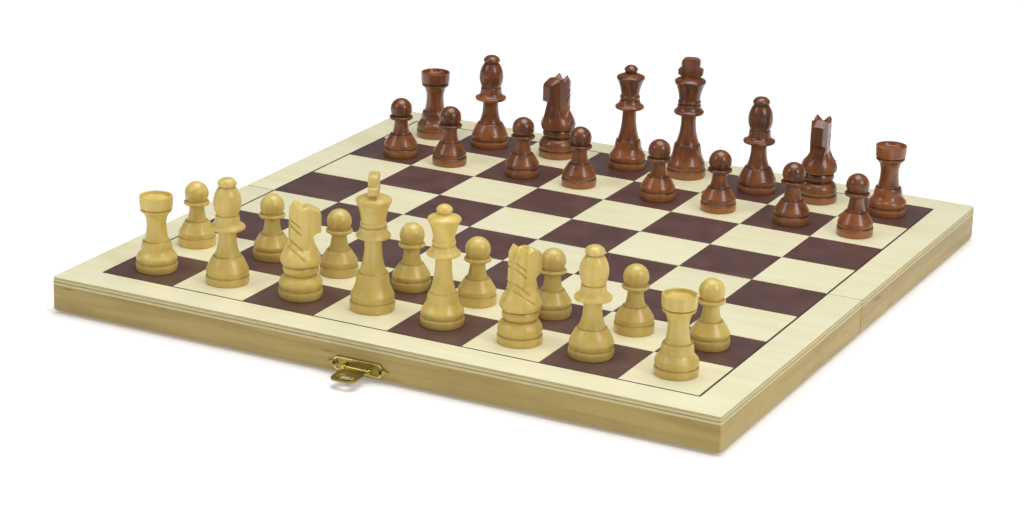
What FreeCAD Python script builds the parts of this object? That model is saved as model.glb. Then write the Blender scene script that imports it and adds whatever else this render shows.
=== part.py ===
"""Folding chess board, 300 mm square, with its thirty-two turned and carved men.

The board is two shallow wooden trays hinged along one edge. It lies open with
the trays turned down and the chequered panels up; folded, the rims meet and the
trays hold the men. Millimetres, +Z up, the fold along X, the clasp at -Y.
Z = 0 is the table under the hinge barrels, X = Y = 0 is on the fold.
"""

import FreeCAD, Part
import math
import os

import Sketcher
from FreeCAD import Placement, Rotation, Vector

doc = FreeCAD.newDocument("ChessSet")
sheet = doc.addObject("Spreadsheet::Sheet", "Sizes")


class Size:
    """A length that knows its value now and the sheet formula that gives it."""

    def __init__(self, value, formula):
        self.value = value
        self.formula = formula

    def __add__(self, other):
        other = as_size(other)
        return Size(self.value + other.value, f"({self.formula} + {other.formula})")

    def __sub__(self, other):
        other = as_size(other)
        return Size(self.value - other.value, f"({self.formula} - {other.formula})")

    def __mul__(self, other):
        other = as_size(other)
        return Size(self.value * other.value, f"({self.formula} * {other.formula})")

    def __truediv__(self, other):
        other = as_size(other)
        return Size(self.value / other.value, f"({self.formula} / {other.formula})")

    def __neg__(self):
        return Size(-self.value, f"(-1 * {self.formula})")

    def __rsub__(self, other):
        return as_size(other) - self

    __radd__ = __add__
    __rmul__ = __mul__


def as_size(number):
    return number if isinstance(number, Size) else Size(number, f"({number!r})")


def driving(name, value):
    """Writes one driving dimension into the next row of the sheet."""
    driving.row += 1
    sheet.set(f"A{driving.row}", name)
    sheet.set(f"B{driving.row}", str(value))
    sheet.setAlias(f"B{driving.row}", name)
    return Size(value, f"Sizes.{name}")


driving.row = 0

# ---------------------------------------------------------------- driving dimensions

# The board.
square_side = driving("square_side", 33.6)
border_width = driving("border_width", 15.6)
half_height = driving("half_height", 15.0)
panel_thickness = driving("panel_thickness", 3.5)
rail_thickness = driving("rail_thickness", 8.0)
corner_radius = driving("corner_radius", 2.0)
fold_corner_radius = driving("fold_corner_radius", 0.6)
fold_gap = driving("fold_gap", 0.4)
closed_gap = driving("closed_gap", 0.3)

# The two butt hinges, let into the fold faces.
hinge_spacing = driving("hinge_spacing", 170.0)
hinge_length = driving("hinge_length", 24.0)
hinge_middle_length = driving("hinge_middle_length", 8.0)
hinge_leaf_height = driving("hinge_leaf_height", 8.0)
hinge_leaf_thickness = driving("hinge_leaf_thickness", 0.6)
barrel_radius = driving("barrel_radius", 1.0)
hinge_pin_radius = driving("hinge_pin_radius", 0.5)
hinge_screw_spacing = driving("hinge_screw_spacing", 14.0)
hinge_screw_rise = driving("hinge_screw_rise", 5.0)

# The clasp on the near half and its catch on the far half.
clasp_length = driving("clasp_length", 27.5)
clasp_height = driving("clasp_height", 6.0)
clasp_thickness = driving("clasp_thickness", 0.6)
clasp_rise = driving("clasp_rise", 3.65)
clasp_offset = driving("clasp_offset", -3.7)
clasp_lift = driving("clasp_lift", 0.7)
clasp_barrel_radius = driving("clasp_barrel_radius", 1.0)
clasp_pin_radius = driving("clasp_pin_radius", 0.45)
clasp_window_height = driving("clasp_window_height", 2.6)
clasp_lug_length = driving("clasp_lug_length", 1.6)
clasp_screw_spacing = driving("clasp_screw_spacing", 20.8)
tongue_barrel_length = driving("tongue_barrel_length", 9.0)
tongue_width = driving("tongue_width", 11.0)
tongue_length = driving("tongue_length", 12.4)
tongue_thickness = driving("tongue_thickness", 0.6)
tongue_splay = driving("tongue_splay", 86.0)
eye_drop = driving("eye_drop", 8.4)
eye_length = driving("eye_length", 4.6)
stud_radius = driving("stud_radius", 0.8)
stud_length = driving("stud_length", 2.2)
catch_length = driving("catch_length", 14.0)
catch_height = driving("catch_height", 6.0)
catch_screw_spacing = driving("catch_screw_spacing", 9.2)

# Wood screws.
screw_head_radius = driving("screw_head_radius", 1.4)
screw_shank_radius = driving("screw_shank_radius", 0.7)
screw_length = driving("screw_length", 6.5)

# Clearances.
running_clearance = driving("running_clearance", 0.05)
hole_clearance = driving("hole_clearance", 0.05)
knuckle_gap = driving("knuckle_gap", 0.25)
barrel_clearance = driving("barrel_clearance", 0.3)
eye_clearance = driving("eye_clearance", 0.5)

# The knight's head and the king's cross.
knight_head_thickness = driving("knight_head_thickness", 8.0)
cross_width = driving("cross_width", 11.6)
cross_height = driving("cross_height", 9.0)
cross_thickness = driving("cross_thickness", 4.2)
cross_bar_width = driving("cross_bar_width", 3.6)
cross_bar_drop = driving("cross_bar_drop", 6.6)
cross_upright_width = driving("cross_upright_width", 8.8)
cross_seat = driving("cross_seat", 1.6)

# Turned outlines, foot to top: feature, radius, rise above the feature before it, and
# how far the stretch up to it is rounded (the tangent of a quarter of its arc; negative
# for a hollow). The foot's own row stands on the board.
PROFILES = {
    "pawn": (
        ("foot", 7.9, 0.0, 0),
        ("ring", 8.1, 3.7, 0.1),
        ("groove", 7.6, 0.3, 0),
        ("belly", 7.8, 1.5, 0.2),
        ("body", 5.0, 5.2, 0.12),
        ("step", 4.2, 0.3, 0),
        ("neck", 3.2, 6.5, -0.08),
        ("collar", 5.5, 0.7, 0),
        ("collar_top", 5.1, 1.2, 0.5),
        ("head_foot", 4.3, 0.5, 0),
        ("head", 0.0, 8.1, 0.6),
    ),
    "rook": (
        ("foot", 8.5, 0.0, 0),
        ("ring", 8.7, 3.2, 0.1),
        ("groove", 8.2, 0.3, 0),
        ("belly", 8.5, 1.7, 0.2),
        ("body", 5.8, 7.5, 0.08),
        ("step", 5.0, 0.3, 0),
        ("neck", 4.2, 5.7, -0.05),
        ("flare", 5.2, 5.1, -0.12),
        ("lip", 6.6, 2.4, -0.08),
        ("cup_groove", 6.4, 0.8, 0),
        ("cup", 6.8, 0.4, 0),
        ("cup_rim", 7.0, 4.8, 0.03),
        ("rim_edge", 6.2, 0.0, 0),
        ("dish", 0.0, -1.2, -0.09),
    ),
    "knight": (
        ("foot", 8.8, 0.0, 0),
        ("ring", 9.0, 3.2, 0.1),
        ("groove", 8.4, 0.3, 0),
        ("body", 6.4, 6.2, 0.4),
        ("collar", 7.1, 4.0, 0.3),
        ("bell", 8.3, 2.6, 0.15),
        ("shoulder", 5.0, 7.5, -0.12),
        ("shoulder_top", 0.0, 0.0, 0),
    ),
    "bishop": (
        ("foot", 8.8, 0.0, 0),
        ("ring", 9.0, 3.1, 0.1),
        ("groove", 8.4, 0.3, 0),
        ("belly", 8.8, 1.8, 0.2),
        ("body", 5.9, 6.4, 0.1),
        ("step", 5.3, 0.3, 0),
        ("neck", 3.8, 10.5, -0.12),
        ("collar", 7.0, 0.8, 0),
        ("collar_top", 6.9, 1.2, 0.5),
        ("cove", 5.3, 2.2, -0.25),
        ("head_foot", 4.9, 2.5, 0),
        ("head_groove", 4.6, 0.3, 0),
        ("mitre", 3.5, 11.7, 0.3),
        ("finial_groove", 3.4, 0.3, 0),
        ("finial_edge", 4.0, 0.9, 0.3),
        ("finial", 0.0, 2.5, 0.29),
    ),
    "queen": (
        ("foot", 8.7, 0.0, 0),
        ("ring", 8.9, 3.2, 0.1),
        ("groove", 8.3, 0.3, 0),
        ("belly", 8.7, 1.8, 0.2),
        ("body", 5.8, 8.2, 0.07),
        ("step", 5.2, 0.3, 0),
        ("neck", 3.35, 14.5, -0.09),
        ("collar", 6.6, 0.7, 0),
        ("collar_top", 6.5, 1.4, 0.5),
        ("cove", 4.8, 2.4, -0.25),
        ("bead_groove", 4.4, 0.5, 0),
        ("bead", 4.3, 2.3, 0.4),
        ("crown", 6.5, 7.6, -0.1),
        ("crown_edge", 5.9, 1.3, 0.4),
        ("crown_top", 2.4, 1.8, 0),
        ("finial_side", 3.3, 1.7, 0.2),
        ("finial", 0.0, 2.0, 0.28),
    ),
    "king": (
        ("foot", 9.0, 0.0, 0),
        ("ring", 9.2, 3.6, 0.1),
        ("groove", 8.6, 0.3, 0),
        ("belly", 8.9, 1.8, 0.2),
        ("body", 6.1, 10.0, 0.06),
        ("step", 5.6, 0.3, 0),
        ("neck", 3.7, 13.8, -0.12),
        ("collar", 6.8, 0.7, 0),
        ("collar_top", 6.7, 1.5, 0.5),
        ("cove", 5.5, 2.8, -0.25),
        ("bead_groove", 5.0, 0.4, 0),
        ("bead", 5.0, 1.8, 0.5),
        ("crown", 7.2, 8.1, -0.1),
        ("crown_edge", 6.6, 1.3, 0.4),
        ("crown_top", 2.4, 1.8, 0.1),
        ("cross_seat_top", 0.0, 0.0, 0),
    ),
}

# The knight's head in side view, from the chest round the muzzle, ears and back: forward
# of the axis, and up from the board.
KNIGHT_HEAD = (
    ("breast", 7.6, 16.2),
    ("throat", 4.6, 26.0),
    ("chin", 8.1, 27.6),
    ("muzzle", 8.1, 35.0),
    ("nose", 7.2, 36.8),
    ("brow", 2.9, 39.0),
    ("ear_foot", 0.4, 38.2),
    ("ear", -2.2, 40.1),
    ("poll", -4.5, 36.8),
    ("back", -4.9, 21.4),
    ("nape", -7.6, 16.2),
)

# Where each man stands: its square, and how far off the square's centre and how far
# turned it has been put down. Rows run from the a file to the h file.
BACK_RANK_PALE = ("rook", "bishop", "knight", "king", "queen", "knight", "bishop", "rook")
BACK_RANK_DARK = ("rook", "bishop", "knight", "queen", "king", "bishop", "knight", "rook")
RANKS = (
    ("pale", 1, BACK_RANK_PALE),
    ("pale", 2, ("pawn",) * 8),
    ("dark", 7, ("pawn",) * 8),
    ("dark", 8, BACK_RANK_DARK),
)
OFF_CENTRE = {
    1: ((-1, -2), (-1, 0), (0, 1), (-1, 3), (-2, 2), (0, 0), (-3, 1), (0, 0)),
    2: ((-5, 1), (-2, 3), (-1, 0), (0, 0), (-2, -2), (-3, 1), (0, 1), (-1, 1)),
    7: ((4, -4), (-3, -4), (1, -2), (-3, -2), (3, -1), (0, -2), (2, -2), (-1, -3)),
    8: ((2, 0), (-1, 0), (1, 2), (4, 3), (0, 5), (4, 1), (0, 2), (1, 0)),
}
TURNED = {"c1": 38, "d1": 114, "f1": 66, "c8": 246, "e8": 15, "g8": 275}

# ---------------------------------------------------------------- derived dimensions

board_half_length = 4 * square_side + border_width
fold_face = fold_gap / 2
front_face = fold_face + board_half_length
axis_z = barrel_radius
rim_z = axis_z + closed_gap / 2
rail_height = half_height - panel_thickness
panel_z = rim_z + rail_height
top_z = rim_z + half_height

clasp_face = front_face + clasp_thickness
clasp_axis_y = clasp_face + knuckle_gap + clasp_barrel_radius
clasp_axis_z = axis_z + clasp_rise
clasp_plate_z = clasp_axis_z + clasp_lift
catch_z = axis_z + eye_drop - clasp_rise

# A half, a quarter and an eighth of a circle, as the tangent of a quarter of the arc's angle.
HALF_ROUND = 1
QUARTER = math.tan(math.radians(90 / 4))
EIGHTH = math.tan(math.radians(45 / 4))
MITRE_CUT = 1 - math.sqrt(0.5)

# How hard the clasp plate's ends are waved, how much of its height is left there, and how
# far down its length the tongue is widest, starts to narrow and is blunt.
OGEE = 0.2
CLASP_WAIST = 0.86
TONGUE_SHOULDER = 0.3
TONGUE_HEEL = 0.72
TONGUE_TOE = 0.35
TONGUE_ROUNDING = 0.3

ALONG_X = Rotation(Vector(0, 1, 0), 90)
TOWARDS_FRONT = Rotation(Vector(1, 0, 0), 90)
TOWARDS_FOLD = Rotation(Vector(1, 0, 0), -90)
HALF_TURN = {"near": 0.0, "far": 180.0}

# ---------------------------------------------------------------- building blocks


def place(piece, across=0.0, along=0.0, up=0.0, turn=None):
    """Puts an object at sizes bound to the sheet, turned by a fixed rotation."""
    piece.Placement = Placement(Vector(0, 0, 0), turn or Rotation())
    for axis, distance in zip("xyz", (across, along, up)):
        piece.setExpression(f"Placement.Base.{axis}", as_size(distance).formula)
    return piece


def origin_plane(body, role):
    return next(plane for plane in body.Origin.OriginFeatures if plane.Role == role)


def closed_outline(sketch, corners):
    """Draws corners (across, up, rounding of the edge to the next one), tied to the sheet."""
    points = [Vector(as_size(x).value, as_size(y).value, 0) for x, y, _ in corners]
    edges = []
    for index, (start, corner) in enumerate(zip(points, corners)):
        end = points[(index + 1) % len(points)]
        edges.append(draw_edge(sketch, start, end, corner[2]))
    for index, (edge, forward) in enumerate(edges):
        following, next_forward = edges[(index + 1) % len(edges)]
        ends = (edge, 2 if forward else 1, following, 1 if next_forward else 2)
        sketch.addConstraint(Sketcher.Constraint("Coincident", *ends))
    for index, (x, y, rounding) in enumerate(corners):
        edge, forward = edges[index]
        start = 1 if forward else 2
        for kind, distance in (("DistanceX", x), ("DistanceY", y)):
            bind_constraint(sketch, (kind, -1, 1, edge, start), distance)
        if rounding:
            next_x, next_y, _ = corners[(index + 1) % len(corners)]
            bind_arc(sketch, edge, (x, y), (next_x, next_y), rounding)


def draw_edge(sketch, start, end, rounding):
    """Adds a line or an arc; returns its number and whether it runs from start to end."""
    if not rounding:
        return sketch.addGeometry(Part.LineSegment(start, end), False), True
    chord = end - start
    aside = Vector(chord.y, -chord.x, 0) * (rounding / 2)
    arc = Part.Arc(start, (start + end) / 2 + aside, end)
    return sketch.addGeometry(arc, False), rounding > 0


def bind_arc(sketch, edge, start, end, rounding):
    """Ties down the one freedom an arc has once both its ends are placed."""
    if rounding == HALF_ROUND:
        # The ends of an upright half circle are straight above each other.
        bind_constraint(sketch, ("DistanceX", -1, 1, edge, 3), start[0])
    elif as_size(end[0]).value == 0:
        # An arc that ends on the axis is part of a ball, so its centre is there too.
        sketch.addConstraint(Sketcher.Constraint("PointOnObject", edge, 3, -2))
    else:
        radius = arc_radius(as_size(end[0]) - start[0], as_size(end[1]) - start[1], rounding)
        bind_constraint(sketch, ("Radius", edge), radius)


def arc_radius(run, rise, rounding):
    """The radius of an arc over a chord of this run and rise."""
    share = (1 + rounding * rounding) / (4 * abs(rounding))
    chord = Size(math.hypot(run.value, rise.value), f"hypot({run.formula}; {rise.formula})")
    return chord * share


def bind_constraint(sketch, reference, distance):
    """Adds a constraint on some geometry and ties its distance to the sheet."""
    size = as_size(distance)
    number = sketch.addConstraint(Sketcher.Constraint(*reference, size.value))
    sketch.setExpression(f"Constraints[{number}]", size.formula)


def sketched_body(label, role, corners, holes=()):
    """A new body with one sketch on one of its own origin planes."""
    body = doc.addObject("PartDesign::Body", label)
    body.Label = label
    sketch = body.newObject("Sketcher::SketchObject", f"{label}_outline")
    sketch.AttachmentSupport = [(origin_plane(body, role), "")]
    sketch.MapMode = "FlatFace"
    doc.recompute()
    closed_outline(sketch, corners)
    for hole in holes:
        closed_outline(sketch, hole)
    return body, sketch


def plate(label, role, corners, thickness, holes=()):
    """A body padded from an outline."""
    body, sketch = sketched_body(label, role, corners, holes)
    pad = body.newObject("PartDesign::Pad", f"{label}_pad")
    pad.Profile = sketch
    pad.setExpression("Length", as_size(thickness).formula)
    sketch.Visibility = False
    return body


def box(label, length, width, height, across, along, up):
    """A box centred across X, from its front lower edge back and up."""
    block = doc.addObject("Part::Box", label)
    block.setExpression("Length", as_size(length).formula)
    block.setExpression("Width", as_size(width).formula)
    block.setExpression("Height", as_size(height).formula)
    return place(block, across - as_size(length) / 2, along, up)


def rod(label, radius, length, across, along, up, turn):
    """A cylinder from a point along the direction that turn gives."""
    cylinder = doc.addObject("Part::Cylinder", label)
    cylinder.setExpression("Radius", as_size(radius).formula)
    cylinder.setExpression("Height", as_size(length).formula)
    return place(cylinder, across, along, up, turn)


def fused(label, shapes):
    if len(shapes) == 1:
        shapes[0].Label = label
        return shapes[0]
    union = doc.addObject("Part::MultiFuse", label)
    union.Label = label
    union.Shapes = shapes
    return union


def less(label, base, tools):
    """The base with every tool cut away."""
    result = doc.addObject("Part::Cut", label)
    result.Label = label
    result.Base = base
    result.Tool = fused(f"{label}_tools", tools)
    return result


def group(label, shapes):
    """Several separate solids that share one node."""
    whole = doc.addObject("Part::Compound", label)
    whole.Label = label
    whole.Links = shapes
    return whole


def swing(piece, half):
    """Turns a finished piece about the upright line through the fold, to its own half."""
    place(piece, turn=Rotation(Vector(0, 0, 1), HALF_TURN[half]))
    return piece


# ---------------------------------------------------------------- the two trays


def rounded_start(radius):
    return radius * MITRE_CUT


def panel(half):
    """The chequered plywood panel that roofs a tray."""
    side, front, fold = board_half_length, front_face, fold_face
    big, small = corner_radius, fold_corner_radius
    corners = (
        (-side + big, -front, 0),
        (side - big, -front, QUARTER),
        (side, -front + big, 0),
        (side, -fold - small, QUARTER),
        (side - small, -fold, 0),
        (-side + small, -fold, QUARTER),
        (-side, -fold - small, 0),
        (-side, -front + big, QUARTER),
    )
    body = plate(f"{half}_panel", "XY_Plane", corners, panel_thickness)
    place(body, up=panel_z, turn=Rotation(Vector(0, 0, 1), HALF_TURN[half]))
    return body


def long_rail(label, edge, inward, radius):
    """A rail along X, mitred at both ends; inward is +1 or -1 from its outer edge."""
    side, thick = board_half_length, rail_thickness
    cut = rounded_start(radius)
    right = (
        (side - radius, edge, EIGHTH),
        (side - cut, edge + inward * cut, 0),
        (side - thick, edge + inward * thick, 0),
    )
    left = (
        (-side + thick, edge + inward * thick, 0),
        (-side + cut, edge + inward * cut, EIGHTH),
        (-side + radius, edge, 0),
    )
    corners = right + left
    if inward < 0:
        corners = mirrored_order(corners)
    return plate(label, "XY_Plane", corners, rail_height)


def mirrored_order(corners):
    """The same outline walked the other way, so that it stays anticlockwise."""
    turned = []
    for index in range(len(corners) - 1, -1, -1):
        x, y, _ = corners[index]
        turned.append((x, y, corners[index - 1][2]))
    return tuple(turned)


def side_rail(label, sign):
    """A rail along Y at one side, mitred at both ends; sign is +1 on the right."""
    outer, thick = sign * board_half_length, rail_thickness
    front_cut, fold_cut = rounded_start(corner_radius), rounded_start(fold_corner_radius)
    corners = (
        (outer - sign * front_cut, -front_face + front_cut, EIGHTH),
        (outer, -front_face + corner_radius, 0),
        (outer, -fold_face - fold_corner_radius, EIGHTH),
        (outer - sign * fold_cut, -fold_face - fold_cut, 0),
        (outer - sign * thick, -fold_face - thick, 0),
        (outer - sign * thick, -front_face + thick, 0),
    )
    if sign < 0:
        corners = mirrored_order(corners)
    return plate(label, "XY_Plane", corners, rail_height)


def rails(half):
    """The four rails of a tray, with pilot holes where metalwork is screwed on."""
    if half == "near":
        spacing, across, up = clasp_screw_spacing, clasp_offset, clasp_plate_z
    else:
        spacing, across, up = catch_screw_spacing, -clasp_offset, catch_z
    pilots = screw_holes(f"{half}_front_pilot", spacing, -front_face, up, TOWARDS_FOLD, across)
    front = long_rail(f"{half}_front_rail_blank", -front_face, 1, corner_radius)
    place(front, up=rim_z)
    swing(less(f"{half}_front_rail", front, pilots), half)
    fold = long_rail(f"{half}_hinge_rail_blank", -fold_face, -1, fold_corner_radius)
    place(fold, up=rim_z)
    swing(less(f"{half}_hinge_rail", fold, hinge_recesses(half)), half)
    for name, sign in (("left", -1), ("right", 1)):
        body = side_rail(f"{half}_{name}_rail", sign)
        place(body, up=rim_z, turn=Rotation(Vector(0, 0, 1), HALF_TURN[half]))


def screw_holes(label, spacing, along, up, turn, across=0.0):
    """Two pilot holes for a pair of screws."""
    pilot = screw_shank_radius + hole_clearance
    depth = screw_length + hole_clearance
    return [
        rod(f"{label}_{number}", pilot, depth, across + sign * spacing / 2, along, up, turn)
        for number, sign in enumerate((-1, 1))
    ]


# ---------------------------------------------------------------- hinges


def hinge_centres():
    return [(number, sign * hinge_spacing / 2) for number, sign in enumerate((-1, 1))]


def hinge_recesses(half):
    """The mortises, barrel grooves and pilot holes in a fold rail."""
    cuts = []
    length = hinge_length + 2 * hole_clearance
    depth = hinge_leaf_thickness + 2 * fold_gap
    tall = hinge_leaf_height + hole_clearance
    groove = length + 2 * knuckle_gap
    radius = barrel_radius + barrel_clearance
    back = -fold_face - hinge_leaf_thickness
    screw_z = axis_z + hinge_screw_rise
    for number, across in hinge_centres():
        name = f"{half}_mortise_{number}"
        cuts.append(box(name, length, depth, tall, across, back, axis_z))
        start = across - groove / 2
        cuts.append(rod(f"{name}_groove", radius, groove, start, 0, axis_z, ALONG_X))
        pilots = (f"{name}_pilot", hinge_screw_spacing, back, screw_z, TOWARDS_FRONT, across)
        cuts += screw_holes(*pilots)
    return cuts


def knuckles(half, name, across):
    """The barrel lengths of one leaf: two outer ones on the near leaf, one between on the far."""
    if half == "far":
        start = across - hinge_middle_length / 2
        return [rod(f"{name}_middle", barrel_radius, hinge_middle_length, start, 0, axis_z, ALONG_X)]
    long = (hinge_length - hinge_middle_length) / 2 - knuckle_gap
    return [
        rod(f"{name}_knuckle_{number}", barrel_radius, long, start, 0, axis_z, ALONG_X)
        for number, start in enumerate(
            (across - hinge_length / 2, across + hinge_length / 2 - long)
        )
    ]


def notches(half, name, across):
    """Room in a leaf for the other leaf's knuckles."""
    tall = barrel_radius + barrel_clearance
    thick = 3 * hinge_leaf_thickness
    along = -fold_face - 2 * hinge_leaf_thickness
    if half == "near":
        long = hinge_middle_length + 2 * knuckle_gap
        return [box(f"{name}_notch", long, thick, tall, across, along, axis_z)]
    long = (hinge_length - hinge_middle_length) / 2 + knuckle_gap
    shift = (hinge_length - long) / 2 + knuckle_gap
    return [
        box(f"{name}_notch_{number}", long, thick, tall, across + sign * shift, along, axis_z)
        for number, sign in enumerate((-1, 1))
    ]


def hinge_leaves(half):
    """Both leaves on one half, each with its knuckles and countersunk holes."""
    leaves = []
    thick, tall = hinge_leaf_thickness, hinge_leaf_height
    bore = hinge_pin_radius + (running_clearance if half == "far" else 0.0)
    for number, across in hinge_centres():
        name = f"{half}_leaf_{number}"
        blank = box(f"{name}_sheet", hinge_length, thick, tall, across, -fold_face - thick, axis_z)
        flat = less(f"{name}_notched", blank, notches(half, name, across))
        rolled = fused(f"{name}_blank", [flat] + knuckles(half, name, across))
        start = across - hinge_length / 2
        holes = [rod(f"{name}_bore", bore, hinge_length, start, 0, axis_z, ALONG_X)]
        holes += countersinks(f"{name}_sink", across, hinge_screw_spacing)
        leaves.append(less(name, rolled, holes))
    return swing(group(f"{half}_hinge_leaves", leaves), half)


def countersink(label, head, shank, depth, across, along, up, turn):
    """A cone from a screw's head down to its shank."""
    cone = doc.addObject("Part::Cone", label)
    cone.setExpression("Radius1", as_size(head).formula)
    cone.setExpression("Radius2", as_size(shank).formula)
    cone.setExpression("Height", as_size(depth).formula)
    return place(cone, across, along, up, turn)


def countersinks(label, across, spacing):
    head = screw_head_radius + hole_clearance
    shank = screw_shank_radius + hole_clearance
    up = axis_z + hinge_screw_rise
    return [
        countersink(
            f"{label}_{number}", head, shank, hinge_leaf_thickness,
            across + sign * spacing / 2, -fold_face, up, TOWARDS_FRONT,
        )
        for number, sign in enumerate((-1, 1))
    ]


def flat_screw(label, across, up):
    """A countersunk screw in a fold face; its head is as deep as a leaf is thick."""
    radii = (screw_head_radius, screw_shank_radius)
    depth = hinge_leaf_thickness
    head = countersink(f"{label}_head", *radii, depth, across, -fold_face, up, TOWARDS_FRONT)
    start = -fold_face - depth
    long = screw_length - depth
    shank = rod(f"{label}_shank", screw_shank_radius, long, across, start, up, TOWARDS_FRONT)
    return fused(label, [head, shank])


def hinge_screws(half):
    screws = []
    for hinge, across in hinge_centres():
        for number, sign in enumerate((-1, 1)):
            label = f"{half}_hinge_screw_{hinge}_{number}"
            centre = across + sign * hinge_screw_spacing / 2
            screws.append(flat_screw(label, centre, axis_z + hinge_screw_rise))
    return swing(group(f"{half}_hinge_screws", screws), half)


def hinge_pins():
    pins = []
    for number, across in hinge_centres():
        start = across - hinge_length / 2
        pin = rod(f"hinge_pin_{number}", hinge_pin_radius, hinge_length, start, 0, axis_z, ALONG_X)
        pins.append(pin)
    return group("hinge_pins", pins)


# ---------------------------------------------------------------- clasp and catch


def clasp_plate():
    """The pointed brass plate with a window and two lugs that hold the tongue's pin."""
    half_long, half_high = clasp_length / 2, clasp_height / 2
    end = clasp_screw_spacing / 2
    neck = end - screw_head_radius
    waist = half_high * CLASP_WAIST
    corners = (
        (half_long, 0, -OGEE),
        (end, waist, OGEE),
        (neck, half_high, 0),
        (-neck, half_high, OGEE),
        (-end, waist, -OGEE),
        (-half_long, 0, -OGEE),
        (-end, -waist, OGEE),
        (-neck, -half_high, 0),
        (neck, -half_high, OGEE),
        (end, -waist, -OGEE),
    )
    side, high = tongue_barrel_length / 2 + knuckle_gap, clasp_window_height / 2
    window = ((side, -high, 0), (side, high, 0), (-side, high, 0), (-side, -high, 0))
    flat = plate("clasp_plate_flat", "XZ_Plane", corners, clasp_thickness, [window])
    place(flat, across=clasp_offset, along=-front_face, up=clasp_plate_z)
    solids = [flat]
    for number, sign in enumerate((-1, 1)):
        centre = clasp_offset + sign * (side + clasp_lug_length / 2)
        solids += clasp_lug(f"clasp_lug_{number}", centre)
    start = clasp_offset - clasp_length / 2
    holes = [
        rod("clasp_bore", clasp_pin_radius, clasp_length, start, -clasp_axis_y, clasp_axis_z, ALONG_X)
    ]
    holes += plate_holes("clasp_plate_hole", clasp_screw_spacing, clasp_offset, clasp_plate_z)
    return less("clasp_plate", fused("clasp_plate_blank", solids), holes)


def clasp_lug(label, across):
    """A lug standing off the plate, with a round end about the clasp pin."""
    tall = 2 * clasp_barrel_radius
    reach = clasp_axis_y - front_face
    foot = clasp_axis_z - clasp_barrel_radius
    start = across - clasp_lug_length / 2
    end = (clasp_barrel_radius, clasp_lug_length, start, -clasp_axis_y, clasp_axis_z, ALONG_X)
    return [
        box(label, clasp_lug_length, reach, tall, across, -clasp_axis_y, foot),
        rod(f"{label}_end", *end),
    ]


def plate_holes(label, spacing, across, up):
    """Two screw holes right through a plate on a front rail."""
    radius = screw_shank_radius + hole_clearance
    back = -front_face + clasp_thickness
    return [
        rod(
            f"{label}_{number}", radius, 3 * clasp_thickness,
            across + sign * spacing / 2, back, up, TOWARDS_FRONT,
        )
        for number, sign in enumerate((-1, 1))
    ]


def clasp_pin():
    long = tongue_barrel_length + 2 * (knuckle_gap + clasp_lug_length)
    start = clasp_offset - long / 2
    return rod("clasp_pin", clasp_pin_radius, long, start, -clasp_axis_y, clasp_axis_z, ALONG_X)


def clasp_tongue():
    """The hanging tongue with a slotted eye that drops over the catch's stud."""
    half_barrel, half_wide = tongue_barrel_length / 2, tongue_width / 2
    neck = -1.5 * clasp_barrel_radius
    shoulder, heel = -TONGUE_SHOULDER * tongue_length, -TONGUE_HEEL * tongue_length
    toe = TONGUE_TOE * tongue_width
    corners = (
        (half_barrel, 0, 0),
        (-half_barrel, 0, 0),
        (-half_barrel, neck, 0),
        (-half_wide, shoulder, 0),
        (-half_wide, heel, TONGUE_ROUNDING),
        (-toe, -tongue_length, 0),
        (toe, -tongue_length, TONGUE_ROUNDING),
        (half_wide, heel, 0),
        (half_wide, shoulder, 0),
        (half_barrel, neck, 0),
    )
    eye_high = stud_radius + eye_clearance
    straight = eye_length / 2 - eye_high
    eye = (
        (straight, -eye_drop - eye_high, HALF_ROUND),
        (straight, -eye_drop + eye_high, 0),
        (-straight, -eye_drop + eye_high, HALF_ROUND),
        (-straight, -eye_drop - eye_high, 0),
    )
    flat = plate("clasp_tongue_flat", "XZ_Plane", corners, tongue_thickness, [eye])
    place(flat, along=tongue_thickness / 2)
    span = (tongue_barrel_length, -half_barrel, 0, 0, ALONG_X)
    barrel = rod("clasp_tongue_barrel", clasp_barrel_radius, *span)
    bore = rod("clasp_tongue_bore", clasp_pin_radius + running_clearance, *span)
    tongue = less("clasp_tongue", fused("clasp_tongue_blank", [flat, barrel]), [bore])
    # Any angle but zero keeps the axis when the sheet then sets the angle.
    outwards = Rotation(Vector(-1, 0, 0), 1)
    place(tongue, clasp_offset, -clasp_axis_y, clasp_axis_z, outwards)
    tongue.setExpression("Placement.Rotation.Angle", tongue_splay.formula)
    return tongue


def round_screws(label, spacing, across, up):
    """Two screws with low round heads on the face of a plate on a front rail."""
    screws = []
    for number, sign in enumerate((-1, 1)):
        at = (across + sign * spacing / 2, -clasp_face, up)
        shank = rod(f"{label}_shank_{number}", screw_shank_radius, screw_length, *at, TOWARDS_FOLD)
        cap = rod(f"{label}_cap_{number}", screw_head_radius, clasp_thickness, *at, TOWARDS_FRONT)
        screws.append(fused(f"{label}_{number}", [cap, shank]))
    return group(label, screws)


def catch_plate():
    """The small plate with a stud on the other half's front rail."""
    half_long, half_high = catch_length / 2, catch_height / 2
    corners = (
        (half_long - half_high, -half_high, QUARTER),
        (half_long, 0, QUARTER),
        (half_long - half_high, half_high, 0),
        (-half_long + half_high, half_high, QUARTER),
        (-half_long, 0, QUARTER),
        (-half_long + half_high, -half_high, 0),
    )
    flat = plate("catch_plate_flat", "XZ_Plane", corners, clasp_thickness)
    place(flat, across=-clasp_offset, along=-front_face, up=catch_z)
    reach = stud_length + clasp_thickness
    stud = rod("catch_stud", stud_radius, reach, -clasp_offset, -front_face, catch_z, TOWARDS_FRONT)
    holes = plate_holes("catch_plate_hole", catch_screw_spacing, -clasp_offset, catch_z)
    return swing(less("catch_plate", fused("catch_plate_blank", [flat, stud]), holes), "far")


# ---------------------------------------------------------------- the men

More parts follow.
